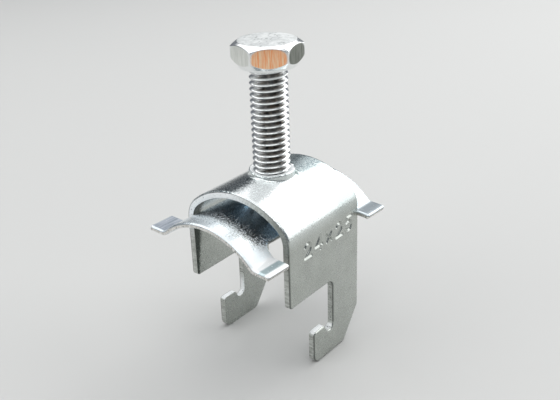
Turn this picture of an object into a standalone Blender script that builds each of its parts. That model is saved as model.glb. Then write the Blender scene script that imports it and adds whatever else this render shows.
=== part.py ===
"""Channel clamp: a folded sheet bracket, a pressure pan and the hex screw that drives the pan.

Metres, +Z up. The origin is on the table, under the middle of the pan, which has slipped a little to one
side of the screw's axis. X runs across the tunnel and Y runs along it. The hooks open towards -Y.
"""

import math

import bmesh
import bpy
from mathutils import Matrix

# Bracket: one folded strip
SHEET = 0.0016
INNER_WIDTH = 0.0240
STRIP_WIDTH = 0.0250
CROWN_HEIGHT = 0.0408
CROWN_RADIUS = 0.0177
SHOULDER_RADIUS = 0.0060

# Bracket: the outline that both walls are cut to, seen from the side
HOOK_HEIGHT = 0.0080
HOOK_FRONT = -0.0045
HOOK_TIP_RADIUS = 0.0007
HOOK_TOE_RADIUS = 0.0020
LIP_GAP = 0.0100
LEG_FRONT = 0.00275
LEG_FILLET = 0.0018
WALL_CORNER_RADIUS = 0.0007
RELIEF_RADIUS = 0.00145
RELIEF_DEPTH = 0.0020
RELIEF_EDGE_RADIUS = 0.0010
FOOT_REAR = 0.0070
FOOT_REAR_RADIUS = 0.0010
SLANT_HEIGHT = 0.0071

# Bracket: the plunged and tapped collar on the roof
COLLAR_WALL = 0.0008
COLLAR_RISE = 0.0012
COLLAR_RIM_CHAMFER = 0.0002
COLLAR_MOUTH_RADIUS = 0.0010
THREAD_CLEARANCE = 0.0001

# Pressure pan: in its own frame, the upper face of its tabs is at height 0
PAN_SHEET = 0.0010
PAN_SIDE_CLEARANCE = 0.0019
PAN_END_CLEARANCE = 0.0010
PAN_TAB_OVERHANG = 0.0029
PAN_TAB_LENGTH = 0.0065
PAN_NOTCH_RADIUS = 0.0013
PAN_CORNER_RADIUS = 0.0004
PAN_ARCH_RADIUS = 0.0175
PAN_ARCH_RISE = 0.00515
PAN_FLARE_RADIUS = 0.0015

# Pressure pan: how it hangs below the roof, skewed by its play on the screw's spigot
PAN_DROP = 0.00336
PAN_SHIFT_X = -0.0009
PAN_YAW = math.radians(-2.16)
PAN_ROLL = math.radians(2.3)

# Hex screw: M8 x 1.25, right-hand, with thread up to the head
THREAD_DIAMETER = 0.0080
THREAD_PITCH = 0.00125
THREAD_DEPTH = 0.000767
THREAD_LENGTH = 0.02806
CREST_FLAT = THREAD_PITCH / 8
FLANK_ANGLE = math.radians(30)
CREST_BELOW_HEAD = 0.00198
CREST_AZIMUTH = math.radians(-51.1)
SHANK_END_CHAMFER = 0.0004
HEAD_HEIGHT = 0.0052
HEAD_AZIMUTH = math.radians(-49.0)
ACROSS_FLATS = 0.0130
HEX_EDGE_RADIUS = 0.0005
HEAD_TOP_INSET = 0.0006
HEAD_TOP_SLOPE = math.radians(33)
WASHER_FACE_INSET = 0.0005
WASHER_FACE_HEIGHT = 0.0004
HEAD_LOWER_SLOPE = math.radians(45)

# Hex screw: the hidden spigot that carries the pan, and its peened end
SPIGOT_RADIUS = 0.0022
SPIGOT_CLEARANCE = 0.00025
SHOULDER_GAP = 0.0003
RIVET_GAP = 0.0003
RIVET_OVERLAP = 0.0007
RIVET_EDGE = 0.0004
RIVET_FACE_INSET = 0.0010
RIVET_FACE_DROP = 0.0004

# Facets
SHOULDER_STEPS = 8
CROWN_STEPS = 20
PAN_ARCH_STEPS = 20
PAN_FLARE_STEPS = 5
CORNER_STEPS = 5
HEX_EDGE_STEPS = 2
ROUND_STEPS = 48
THREAD_STEPS = 24

# How far a cutter or a stock shape reaches past what it shapes, and what counts as one point
MARGIN = 0.0010
MERGE = 0.000001

OUTER_HALF_WIDTH = INNER_WIDTH / 2 + SHEET
WALL_LOWER_EDGE = HOOK_HEIGHT + LIP_GAP
ROOF_INSIDE = CROWN_HEIGHT - SHEET
THREAD_RADIUS = THREAD_DIAMETER / 2
THREAD_ROOT = THREAD_RADIUS - THREAD_DEPTH
BORE_RADIUS = THREAD_RADIUS + THREAD_CLEARANCE
COLLAR_RADIUS = BORE_RADIUS + COLLAR_WALL
COLLAR_TOP = CROWN_HEIGHT + COLLAR_RISE
PAN_HALF_TROUGH = INNER_WIDTH / 2 - PAN_SIDE_CLEARANCE
PAN_HALF_SPAN = OUTER_HALF_WIDTH + PAN_TAB_OVERHANG
PAN_HALF_NECK = STRIP_WIDTH / 2 + PAN_END_CLEARANCE
PAN_HALF_LENGTH = PAN_HALF_NECK + PAN_TAB_LENGTH
PAN_CROWN = ROOF_INSIDE - PAN_DROP
PAN_HOLE_RADIUS = SPIGOT_RADIUS + abs(PAN_SHIFT_X) + SPIGOT_CLEARANCE
RIVET_RADIUS = PAN_HOLE_RADIUS + RIVET_OVERLAP
SHANK_END = PAN_CROWN + SHOULDER_GAP
HEAD_UNDERSIDE = SHANK_END + THREAD_LENGTH
HEAD_TOP = HEAD_UNDERSIDE + HEAD_HEIGHT
HEAD_TOP_RADIUS = ACROSS_FLATS / 2 - HEAD_TOP_INSET
WASHER_FACE_RADIUS = ACROSS_FLATS / 2 - WASHER_FACE_INSET
CREST_HEIGHT = HEAD_UNDERSIDE - CREST_BELOW_HEAD
SCREW_AXIS_X = -PAN_SHIFT_X


def clear_scene():
    for obj in list(bpy.data.objects):
        bpy.data.objects.remove(obj, do_unlink=True)


def new_collection(name):
    made = bpy.data.collections.new(name)
    bpy.context.scene.collection.children.link(made)
    return made


def new_material(name, color, roughness):
    made = bpy.data.materials.new(name)
    made.use_nodes = True
    shader = made.node_tree.nodes["Principled BSDF"]
    shader.inputs["Base Color"].default_value = (*color, 1.0)
    shader.inputs["Metallic"].default_value = 1.0
    shader.inputs["Roughness"].default_value = roughness
    return made


def add_mesh(name, bm, collection):
    mesh = bpy.data.meshes.new(name)
    bm.to_mesh(mesh)
    bm.free()
    obj = bpy.data.objects.new(name, mesh)
    collection.objects.link(obj)
    return obj


def arc(center, radius, start, end, steps):
    """Points on an arc, with both its ends. The angles are in radians."""
    points = []
    for i in range(steps + 1):
        angle = start + (end - start) * i / steps
        points.append((center[0] + radius * math.cos(angle), center[1] + radius * math.sin(angle)))
    return points


def rounded_corner(before, corner, after, radius, steps):
    """The arc that rounds a corner of an outline, from one tangent point to the other."""
    to_before = math.atan2(before[1] - corner[1], before[0] - corner[0])
    to_after = math.atan2(after[1] - corner[1], after[0] - corner[0])
    turn = (to_after - to_before + math.pi) % (2 * math.pi) - math.pi
    bisector = to_before + turn / 2
    reach = radius / math.sin(abs(turn) / 2)
    center = (corner[0] + reach * math.cos(bisector), corner[1] + reach * math.sin(bisector))
    sweep = math.copysign(math.pi - abs(turn), -turn)
    middle = bisector + math.pi
    return arc(center, radius, middle - sweep / 2, middle + sweep / 2, steps)


def rounded_outline(corners, steps=CORNER_STEPS):
    """A closed outline from corners given as (first, second, radius). A radius of 0 stays sharp."""
    points = []
    for i, (first, second, radius) in enumerate(corners):
        if radius > 0:
            after = corners[(i + 1) % len(corners)]
            points += rounded_corner(corners[i - 1], (first, second), after, radius, steps)
        else:
            points.append((first, second))
    return points


def plate(name, outline, thickness, collection):
    """A flat plate in the XY plane, half of it above and half of it below."""
    bm = bmesh.new()
    face = bm.faces.new([bm.verts.new((x, y, -thickness / 2)) for x, y in outline])
    made = bmesh.ops.extrude_face_region(bm, geom=[face])
    raised = [item for item in made["geom"] if isinstance(item, bmesh.types.BMVert)]
    bmesh.ops.translate(bm, verts=raised, vec=(0.0, 0.0, thickness))
    bmesh.ops.recalc_face_normals(bm, faces=bm.faces)
    return add_mesh(name, bm, collection)


def turned(name, profile, collection):
    """A solid turned about Z. Its (radius, height) points run from the axis, down the outside, to the axis."""
    bm = bmesh.new()
    verts = [bm.verts.new((radius, 0.0, height)) for radius, height in profile]
    for pair in zip(verts, verts[1:]):
        bm.edges.new(pair)
    obj = add_mesh(name, bm, collection)
    turn = obj.modifiers.new("Turn", "SCREW")
    turn.steps = ROUND_STEPS
    turn.render_steps = ROUND_STEPS
    turn.use_merge_vertices = True
    turn.merge_threshold = MERGE
    return obj


def bent_sheet(name, profile, length, thickness, collection):
    """A sheet whose upper face follows an (x, z) profile and runs along Y."""
    bm = bmesh.new()
    near = [bm.verts.new((x, -length / 2, z)) for x, z in profile]
    far = [bm.verts.new((x, length / 2, z)) for x, z in profile]
    for i in range(len(profile) - 1):
        bm.faces.new((near[i], near[i + 1], far[i + 1], far[i]))
    obj = add_mesh(name, bm, collection)
    wall = obj.modifiers.new("Sheet", "SOLIDIFY")
    wall.thickness = thickness
    wall.offset = -1.0
    wall.use_even_offset = True
    return obj


def threaded_rod(name, growth, bottom, top, collection):
    """A right-hand threaded rod, grown outwards by a clearance, that runs past both given heights."""
    flank = THREAD_DEPTH * math.tan(FLANK_ANGLE)
    profile = (
        (-CREST_FLAT / 2, THREAD_RADIUS + growth),
        (CREST_FLAT / 2, THREAD_RADIUS + growth),
        (CREST_FLAT / 2 + flank, THREAD_ROOT + growth),
        (THREAD_PITCH - CREST_FLAT / 2 - flank, THREAD_ROOT + growth),
    )
    first_turn = math.floor((bottom - CREST_HEIGHT) / THREAD_PITCH) - 1
    turns = math.ceil((top - bottom) / THREAD_PITCH) + 3
    bm = bmesh.new()
    columns = []
    for step in range(THREAD_STEPS):
        azimuth = CREST_AZIMUTH + 2 * math.pi * step / THREAD_STEPS
        column = []
        for turn in range(turns):
            crest = CREST_HEIGHT + (first_turn + turn + step / THREAD_STEPS) * THREAD_PITCH
            for offset, radius in profile:
                place = (radius * math.cos(azimuth), radius * math.sin(azimuth), crest + offset)
                column.append(bm.verts.new(place))
        columns.append(column)
    shifted = columns[0][len(profile) :]
    for left, right in zip(columns, columns[1:] + [shifted]):
        for i in range(len(right) - 1):
            bm.faces.new((left[i], right[i], right[i + 1], left[i + 1]))
    bottom_ring = [column[0] for column in columns] + columns[0][len(profile) : 0 : -1]
    top_ring = [column[-1] for column in columns] + columns[-1][-2 : -2 - len(profile) : -1]
    for ring in (bottom_ring, top_ring):
        middle = bm.verts.new((0.0, 0.0, ring[0].co.z))
        for first, second in zip(ring, ring[1:] + ring[:1]):
            bm.faces.new((first, second, middle))
    bmesh.ops.recalc_face_normals(bm, faces=bm.faces)
    return add_mesh(name, bm, collection)


def shape(obj, operation, other):
    """Cuts an object by another, joins them, or keeps what they share. The other becomes a helper."""
    step = obj.modifiers.new(operation.title(), "BOOLEAN")
    step.operation = operation
    step.object = other
    step.solver = "EXACT"
    other.hide_render = True
    other.display_type = "WIRE"


def bake(obj):
    """Puts the modifiers' result in the object's own mesh."""
    bpy.context.view_layer.update()
    graph = bpy.context.evaluated_depsgraph_get()
    mesh = bpy.data.meshes.new_from_object(obj.evaluated_get(graph))
    obj.modifiers.clear()
    obj.data = mesh


def arch_profile():
    """The strip's outer face across the tunnel: wall, shoulder, crown, shoulder, wall, from left to right."""
    shoulder_x = OUTER_HALF_WIDTH - SHOULDER_RADIUS
    crown_z = CROWN_HEIGHT - CROWN_RADIUS
    meeting = math.acos(shoulder_x / (CROWN_RADIUS - SHOULDER_RADIUS))
    shoulder_z = crown_z + (CROWN_RADIUS - SHOULDER_RADIUS) * math.sin(meeting)
    left = [(-OUTER_HALF_WIDTH, -MARGIN)]
    left += arc((-shoulder_x, shoulder_z), SHOULDER_RADIUS, math.pi, math.pi - meeting, SHOULDER_STEPS)
    crown = arc((0.0, crown_z), CROWN_RADIUS, math.pi - meeting, meeting, CROWN_STEPS)
    right = [(-x, z) for x, z in reversed(left)]
    return left + crown[1:-1] + right


def wall_outline():
    """The (y, z) outline that both walls are cut to. It runs up the rear edge, and down the front one."""
    above = CROWN_HEIGHT + MARGIN
    relief_y = LEG_FRONT - RELIEF_RADIUS
    relief_z = HOOK_HEIGHT - RELIEF_DEPTH + RELIEF_RADIUS
    edge_z = HOOK_HEIGHT - RELIEF_EDGE_RADIUS
    reach = RELIEF_RADIUS + RELIEF_EDGE_RADIUS
    lean = math.asin((relief_z - edge_z) / reach)
    edge_y = relief_y - reach * math.cos(lean)
    points = rounded_outline(
        (
            (STRIP_WIDTH / 2, above, 0.0),
            (-STRIP_WIDTH / 2, above, 0.0),
            (-STRIP_WIDTH / 2, WALL_LOWER_EDGE, WALL_CORNER_RADIUS),
            (LEG_FRONT, WALL_LOWER_EDGE, LEG_FILLET),
            (LEG_FRONT, relief_z, 0.0),
        )
    )
    points += arc((relief_y, relief_z), RELIEF_RADIUS, 0.0, lean - math.pi, 2 * CORNER_STEPS)[1:]
    points += arc((edge_y, edge_z), RELIEF_EDGE_RADIUS, lean, math.pi / 2, CORNER_STEPS)[1:-1]
    points += rounded_outline(
        (
            (edge_y, HOOK_HEIGHT, 0.0),
            (HOOK_FRONT, HOOK_HEIGHT, HOOK_TIP_RADIUS),
            (HOOK_FRONT, 0.0, HOOK_TOE_RADIUS),
            (FOOT_REAR, 0.0, FOOT_REAR_RADIUS),
            (STRIP_WIDTH / 2, SLANT_HEIGHT, 0.0),
        )
    )
    return points


def pan_profile():
    """The pan's upper face across the tunnel: tab, flare, arch, flare, tab, from left to right."""
    arch_z = PAN_ARCH_RISE - PAN_ARCH_RADIUS
    reach = PAN_ARCH_RADIUS + PAN_FLARE_RADIUS
    lean = math.acos((PAN_FLARE_RADIUS - arch_z) / reach)
    flare_center = (-reach * math.sin(lean), PAN_FLARE_RADIUS)
    left = [(-PAN_HALF_SPAN - MARGIN, 0.0)]
    left += arc(flare_center, PAN_FLARE_RADIUS, -math.pi / 2, lean - math.pi / 2, PAN_FLARE_STEPS)
    arch = arc((0.0, arch_z), PAN_ARCH_RADIUS, math.pi / 2 + lean, math.pi / 2 - lean, PAN_ARCH_STEPS)
    right = [(-x, z) for x, z in reversed(left)]
    return left + arch[1:-1] + right


def pan_outline():
    """The pan seen from above: a trough between the walls, and two ends that reach past them."""
    right = (
        (PAN_HALF_SPAN, -PAN_HALF_LENGTH, PAN_CORNER_RADIUS),
        (PAN_HALF_SPAN, -PAN_HALF_NECK, PAN_CORNER_RADIUS),
        (PAN_HALF_TROUGH, -PAN_HALF_NECK, PAN_NOTCH_RADIUS),
        (PAN_HALF_TROUGH, PAN_HALF_NECK, PAN_NOTCH_RADIUS),
        (PAN_HALF_SPAN, PAN_HALF_NECK, PAN_CORNER_RADIUS),
        (PAN_HALF_SPAN, PAN_HALF_LENGTH, PAN_CORNER_RADIUS),
    )
    left = tuple((-x, -y, radius) for x, y, radius in right)
    return rounded_outline(right + left)


def pan_underside(radius):
    """The lowest that the skewed pan's underside comes within a radius of the screw's axis."""
    reach = radius + abs(PAN_SHIFT_X)
    bend = PAN_ARCH_RADIUS - PAN_SHEET
    sag = bend - math.sqrt(bend**2 - reach**2)
    return PAN_CROWN - PAN_SHEET - sag - reach * math.sin(abs(PAN_ROLL))


def build_bracket(collection, helpers):
    obj = bent_sheet("bracket", arch_profile(), STRIP_WIDTH + 2 * MARGIN, SHEET, collection)
    sides = plate("bracket_sides", wall_outline(), 2 * (OUTER_HALF_WIDTH + MARGIN), helpers)
    # Turns the plate's X, Y and Z into the row's Y, Z and X
    sides.data.transform(Matrix(((0, 0, 1, 0), (1, 0, 0, 0), (0, 1, 0, 0), (0, 0, 0, 1))))
    shape(obj, "INTERSECT", sides)
    middle = CROWN_HEIGHT - 0.75 * SHEET
    collar = turned(
        "collar_stock",
        (
            (0.0, COLLAR_TOP),
            (COLLAR_RADIUS - COLLAR_RIM_CHAMFER, COLLAR_TOP),
            (COLLAR_RADIUS, COLLAR_TOP - COLLAR_RIM_CHAMFER),
            (COLLAR_RADIUS, middle),
            (0.0, middle),
        ),
        helpers,
    )
    shape(obj, "UNION", collar)
    tap = threaded_rod("tap", THREAD_CLEARANCE, ROOF_INSIDE, COLLAR_TOP, helpers)
    shape(obj, "DIFFERENCE", tap)
    rounding = arc(
        (BORE_RADIUS + COLLAR_MOUTH_RADIUS, ROOF_INSIDE + 0.6 * COLLAR_MOUTH_RADIUS),
        COLLAR_MOUTH_RADIUS,
        math.pi,
        1.4 * math.pi,
        CORNER_STEPS,
    )
    mouth = turned(
        "collar_mouth",
        [(0.0, rounding[0][1] + MARGIN), (THREAD_ROOT, rounding[0][1] + MARGIN)]
        + rounding
        + [(rounding[-1][0], ROOF_INSIDE - 2 * MARGIN), (0.0, ROOF_INSIDE - 2 * MARGIN)],
        helpers,
    )
    shape(obj, "DIFFERENCE", mouth)
    return obj


def build_pan(collection, helpers):
    obj = bent_sheet(
        "pressure_pan", pan_profile(), 2 * (PAN_HALF_LENGTH + MARGIN), PAN_SHEET, collection
    )
    stock = plate("pan_blank", pan_outline(), 4 * PAN_ARCH_RISE, helpers)
    shape(obj, "INTERSECT", stock)
    above = PAN_ARCH_RISE + MARGIN
    below = PAN_ARCH_RISE - PAN_SHEET - 2 * MARGIN
    hole = turned(
        "pan_hole",
        ((0.0, above), (PAN_HOLE_RADIUS, above), (PAN_HOLE_RADIUS, below), (0.0, below)),
        helpers,
    )
    shape(obj, "DIFFERENCE", hole)
    bake(obj)
    place = Matrix.Translation((PAN_SHIFT_X, 0.0, PAN_CROWN - PAN_ARCH_RISE))
    skew = Matrix.Rotation(PAN_ROLL, 4, "Y") @ Matrix.Rotation(PAN_YAW, 4, "Z")
    obj.data.transform(place @ skew)
    return obj


def build_screw(collection, helpers):
    obj = threaded_rod("hex_screw", 0.0, SHANK_END, HEAD_UNDERSIDE, collection)
    past = THREAD_RADIUS + MARGIN
    shank_top = HEAD_UNDERSIDE + MARGIN
    shank = turned(
        "shank_envelope",
        (
            (0.0, shank_top),
            (past, shank_top),
            (past, SHANK_END + SHANK_END_CHAMFER + MARGIN),
            (THREAD_RADIUS - SHANK_END_CHAMFER, SHANK_END),
            (0.0, SHANK_END),
        ),
        helpers,
    )
    shape(obj, "INTERSECT", shank)

    corner_radius = ACROSS_FLATS / math.sqrt(3)
    corners = []
    for i in range(6):
        azimuth = HEAD_AZIMUTH + math.radians(30 + 60 * i)
        across = corner_radius * math.cos(azimuth)
        along = corner_radius * math.sin(azimuth)
        corners.append((across, along, HEX_EDGE_RADIUS))
    head = plate("head_hexagon", rounded_outline(corners, HEX_EDGE_STEPS), 2 * HEAD_HEIGHT, helpers)
    head.data.transform(Matrix.Translation((0.0, 0.0, HEAD_UNDERSIDE + HEAD_HEIGHT / 2)))
    rim = corner_radius + MARGIN
    upper_rim = HEAD_TOP - (rim - HEAD_TOP_RADIUS) * math.tan(HEAD_TOP_SLOPE)
    cone_foot = HEAD_UNDERSIDE + WASHER_FACE_HEIGHT
    lower_rim = cone_foot + (rim - WASHER_FACE_RADIUS) * math.tan(HEAD_LOWER_SLOPE)
    cones = turned(
        "head_cones",
        (
            (0.0, HEAD_TOP),
            (HEAD_TOP_RADIUS, HEAD_TOP),
            (rim, upper_rim),
            (rim, lower_rim),
            (WASHER_FACE_RADIUS, cone_foot),
            (WASHER_FACE_RADIUS, HEAD_UNDERSIDE),
            (0.0, HEAD_UNDERSIDE),
        ),
        helpers,
    )
    shape(head, "INTERSECT", cones)
    shape(obj, "UNION", head)

    overlap = SHANK_END + SHANK_END_CHAMFER + MARGIN
    rivet_top = pan_underside(SPIGOT_RADIUS) - RIVET_GAP
    rivet_rim = pan_underside(RIVET_RADIUS) - RIVET_GAP
    rivet_foot = rivet_rim - RIVET_EDGE
    spigot = turned(
        "spigot",
        (
            (0.0, overlap),
            (SPIGOT_RADIUS, overlap),
            (SPIGOT_RADIUS, rivet_top),
            (RIVET_RADIUS, rivet_rim),
            (RIVET_RADIUS, rivet_foot),
            (RIVET_RADIUS - RIVET_FACE_INSET, rivet_foot - RIVET_FACE_DROP),
            (0.0, rivet_foot - RIVET_FACE_DROP),
        ),
        helpers,
    )
    shape(obj, "UNION", spigot)
    return obj


def build():
    clear_scene()
    parts = new_collection("channel_clamp")
    helpers = new_collection("channel_clamp_helpers")
    bracket = build_bracket(parts, helpers)
    pan = build_pan(parts, helpers)
    screw = build_screw(parts, helpers)
    bracket.data.materials.append(new_material("zinc_plated_bracket", (0.56, 0.58, 0.58), 0.38))
    pan.data.materials.append(new_material("zinc_plated_pan", (0.60, 0.62, 0.64), 0.32))
    screw.data.materials.append(new_material("zinc_plated_screw", (0.62, 0.62, 0.60), 0.24))
    # Every piece was drawn around the screw's axis, which stays each one's own origin
    for obj in bpy.data.objects:
        obj.location.x = SCREW_AXIS_X


build()
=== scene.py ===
"""Channel clamp, dressed: a folded zinc-plated bracket, a pressure pan and a hex screw.

Shapes are worked out in millimetres around the screw's axis, with +Z up, X across the tunnel and the
hooks opening towards -Y. They are turned to metres, and moved to the row's origin, as they are stored.
"""

import math
from types import SimpleNamespace

import bmesh
import bpy
import numpy as np
from mathutils import Matrix
from mathutils.geometry import tessellate_polygon

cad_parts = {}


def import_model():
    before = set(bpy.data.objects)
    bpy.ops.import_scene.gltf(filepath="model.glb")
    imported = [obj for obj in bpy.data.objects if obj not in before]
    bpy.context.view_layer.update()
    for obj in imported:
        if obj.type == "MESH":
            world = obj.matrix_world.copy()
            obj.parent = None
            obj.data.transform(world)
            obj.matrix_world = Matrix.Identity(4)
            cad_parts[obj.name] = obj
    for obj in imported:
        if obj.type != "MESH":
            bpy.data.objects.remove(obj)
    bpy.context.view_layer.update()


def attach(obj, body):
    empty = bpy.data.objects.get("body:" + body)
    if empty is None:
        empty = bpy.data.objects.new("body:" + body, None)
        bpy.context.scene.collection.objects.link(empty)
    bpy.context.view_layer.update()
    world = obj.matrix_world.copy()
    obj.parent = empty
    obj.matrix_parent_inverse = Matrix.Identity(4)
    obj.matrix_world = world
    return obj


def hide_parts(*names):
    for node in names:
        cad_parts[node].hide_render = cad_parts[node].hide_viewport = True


MM = 0.001

# Bracket: one folded strip
SHEET = 1.6
INNER_WIDTH = 24.0
STRIP_WIDTH = 25.0
CROWN_HEIGHT = 40.8
CROWN_RADIUS = 17.7
SHOULDER_RADIUS = 6.0

# Bracket: the walls' outline
HOOK_HEIGHT = 8.0
HOOK_FRONT = -4.5
HOOK_TIP_RADIUS = 0.7
HOOK_TOE_RADIUS = 2.0
LIP_GAP = 10.0
LEG_FRONT = 2.75
LEG_FILLET = 1.8
WALL_CORNER_RADIUS = 0.7
RELIEF_RADIUS = 1.45
RELIEF_DEPTH = 2.0
RELIEF_EDGE_RADIUS = 1.0
FOOT_REAR = 7.0
FOOT_REAR_RADIUS = 1.0
SLANT_HEIGHT = 7.1
SLANT_RADIUS = 0.6

# Bracket: the plunged and tapped collar
COLLAR_WALL = 0.8
COLLAR_RISE = 1.2
COLLAR_ROOT_RADIUS = 0.45
COLLAR_RIM_RADIUS = 0.25
COLLAR_MOUTH_RADIUS = 1.0
THREAD_CLEARANCE = 0.1

# Pressure pan
PAN_SHEET = 1.0
PAN_SIDE_CLEARANCE = 1.9
PAN_END_CLEARANCE = 1.0
PAN_TAB_OVERHANG = 2.9
PAN_TAB_LENGTH = 6.5
PAN_NOTCH_RADIUS = 1.3
PAN_CORNER_RADIUS = 0.5
PAN_ARCH_RADIUS = 17.5
PAN_ARCH_RISE = 5.15
PAN_FLARE_RADIUS = 1.5
PAN_DROP = 3.36
TAB_DROOP = 0.24
TAB_DROOP_START = 2.1
TAB_LIFT = 0.30
TAB_LIFT_START = 2.7
PAN_SHIFT_X = -0.9
PAN_YAW = math.radians(-2.16)
PAN_ROLL = math.radians(2.3)

# Hex screw
THREAD_DIAMETER = 8.0
THREAD_PITCH = 1.25
THREAD_DEPTH = 0.767
THREAD_CREST = THREAD_PITCH / 16
THREAD_FLANK = math.radians(30)
THREAD_LENGTH = 28.06
CREST_BELOW_HEAD = 1.98
CREST_AZIMUTH = math.radians(-51.1)
SHANK_END_CHAMFER = 0.4
HEAD_HEIGHT = 5.2
HEAD_AZIMUTH = math.radians(-49.0)
ACROSS_FLATS = 13.0
HEX_EDGE_RADIUS = 0.5
HEAD_TOP_INSET = 0.6
HEAD_TOP_SLOPE = math.radians(33)
WASHER_FACE_INSET = 0.5
WASHER_FACE_HEIGHT = 0.4
HEAD_LOWER_SLOPE = math.radians(45)
SPIGOT_RADIUS = 2.2
SPIGOT_CLEARANCE = 0.25
SHOULDER_GAP = 0.3
RIVET_GAP = 0.3
RIVET_OVERLAP = 0.7
RIVET_EDGE = 0.4
RIVET_FACE_INSET = 1.0
RIVET_FACE_DROP = 0.4

# Hex screw's mesh: the angles of its rows in degrees, round each edge of the hexagon and over each flat,
# the radii of the flat faces' rings, how the thread starts and how far each corner is eased
HEX_EDGE_ANGLES = (-2.9, -1.95, -1.3, -0.65, 0.0, 0.65, 1.3, 1.95, 2.9)
HEX_FLAT_ANGLES = (4.5, 55.5)
HEX_FLAT_ROWS = 15
INNER_RING = 0.5
HEAD_TOP_RINGS = (INNER_RING, 3.0, 5.3)
UNDERSIDE_RING = 4.6
SHANK_END_RING = 3.0
THREAD_START = 0.02
THREAD_FADE = 0.4
THREAD_EASE = 0.09
HEAD_TOP_EASE = 0.22
HEX_EASE = 0.16
WASHER_EASE = 0.08
FINE_EASE = 0.1
SPIGOT_EASE = 0.2
RIVET_EASE = 0.15
RIVET_FACE_EASE = 0.3

OUTER_HALF_WIDTH = INNER_WIDTH / 2 + SHEET
SHOULDER_X = OUTER_HALF_WIDTH - SHOULDER_RADIUS
HALF_ANGLE = math.asin(SHOULDER_X / (CROWN_RADIUS - SHOULDER_RADIUS))
CROWN_Z = CROWN_HEIGHT - CROWN_RADIUS
SHOULDER_Z = CROWN_Z + (CROWN_RADIUS - SHOULDER_RADIUS) * math.cos(HALF_ANGLE)
CROWN_ARC = CROWN_RADIUS * HALF_ANGLE
SHOULDER_ARC = SHOULDER_RADIUS * (math.pi / 2 - HALF_ANGLE)
WALL_LOWER_EDGE = HOOK_HEIGHT + LIP_GAP
THREAD_RADIUS = THREAD_DIAMETER / 2
THREAD_ROOT = THREAD_RADIUS - THREAD_DEPTH
BORE_RADIUS = THREAD_RADIUS + THREAD_CLEARANCE
COLLAR_RADIUS = BORE_RADIUS + COLLAR_WALL
COLLAR_TOP = CROWN_HEIGHT + COLLAR_RISE
PAN_HALF_TROUGH = INNER_WIDTH / 2 - PAN_SIDE_CLEARANCE
PAN_HALF_SPAN = OUTER_HALF_WIDTH + PAN_TAB_OVERHANG
PAN_HALF_NECK = STRIP_WIDTH / 2 + PAN_END_CLEARANCE
PAN_HALF_LENGTH = PAN_HALF_NECK + PAN_TAB_LENGTH
PAN_CROWN = CROWN_HEIGHT - SHEET - PAN_DROP
PAN_ARCH_Z = PAN_ARCH_RISE - PAN_ARCH_RADIUS
PAN_CENTERS = PAN_ARCH_RADIUS + PAN_FLARE_RADIUS
PAN_HALF_ANGLE = math.acos((PAN_FLARE_RADIUS - PAN_ARCH_Z) / PAN_CENTERS)
PAN_ARCH = PAN_ARCH_RADIUS * PAN_HALF_ANGLE
PAN_FLARE = PAN_FLARE_RADIUS * PAN_HALF_ANGLE
PAN_FLARE_X = PAN_CENTERS * math.sin(PAN_HALF_ANGLE)
PAN_HOLE_RADIUS = SPIGOT_RADIUS + abs(PAN_SHIFT_X) + SPIGOT_CLEARANCE
RIVET_RADIUS = PAN_HOLE_RADIUS + RIVET_OVERLAP
SHANK_END = PAN_CROWN + SHOULDER_GAP
HEAD_UNDERSIDE = SHANK_END + THREAD_LENGTH
HEAD_TOP = HEAD_UNDERSIDE + HEAD_HEIGHT
HEAD_TOP_RADIUS = ACROSS_FLATS / 2 - HEAD_TOP_INSET
WASHER_FACE_RADIUS = ACROSS_FLATS / 2 - WASHER_FACE_INSET
CREST_HEIGHT = HEAD_UNDERSIDE - CREST_BELOW_HEAD
SCREW_AXIS = np.array((-PAN_SHIFT_X, 0.0, 0.0))

# Punched edges: how far in from the blank's outline, and how deep in the sheet, each ring lies, and the
# inset that every other point is given
ROLLED_EDGE = (
    (0.65, 0.0),
    (0.48, 0.01),
    (0.33, 0.04),
    (0.19, 0.10),
    (0.08, 0.19),
    (0.02, 0.29),
    (0.0, 0.40),
)
BURRED_EDGE = ((0.0, 0.10), (0.03, 0.03), (0.10, 0.0), (0.30, 0.0))
RIM_INSETS = np.array([inset for inset, _ in ROLLED_EDGE + BURRED_EDGE])
OPEN_FACE = 1.0

# The square round the collar that the strip's blank leaves to the collar's own grid
PATCH_HALF = 10.0
PATCH_CELL = 0.5
COLLAR_SKIRT = 0.9
COLLAR_SWELL = 0.34

# The collar's rim: its waves and how far they move its height, its outer side and its inner side, then
# where the tapped bore starts below it, and where the mouth under the roof starts
RIM_WAVES = range(2, 38, 3)
RIM_RISE_WAVES = 0.07
RIM_OUTER_WAVES = 0.05
RIM_INNER_WAVES = 0.02
RIM_INNER_DROP = 0.03
BORE_EDGE = 0.12
BORE_EDGE_DROP = 0.3
MOUTH_SHARE = 0.7
MOUTH_START = 0.3

# The burr beside the collar: where it starts, the way it runs and its size
BURR_START = (2.6, 4.45)
BURR_HEADING = math.radians(-34)
BURR_LENGTH = 2.75
BURR_HALF_WIDTH = 0.22
BURR_HALF_HEIGHT = 0.38
BURR_TIP = 0.02
BURR_ROWS = 17
BURR_SIDES = 12

# The stamped size mark on the right wall
STAMP_HEIGHT = 3.2
STAMP_BASE = 27.6
STAMP_START = -7.5
STAMP_PITCH = 3.75
STAMP_DEPTH = 0.3
STAMP_HALF_WIDTH = 0.36
STAMP_MARGIN = 0.6
STAMP_CELL = 0.07
STAMP_LIP = 0.05
STAMP_LIP_MIDDLE = 1.35
STAMP_LIP_WIDTH = 0.3

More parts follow.
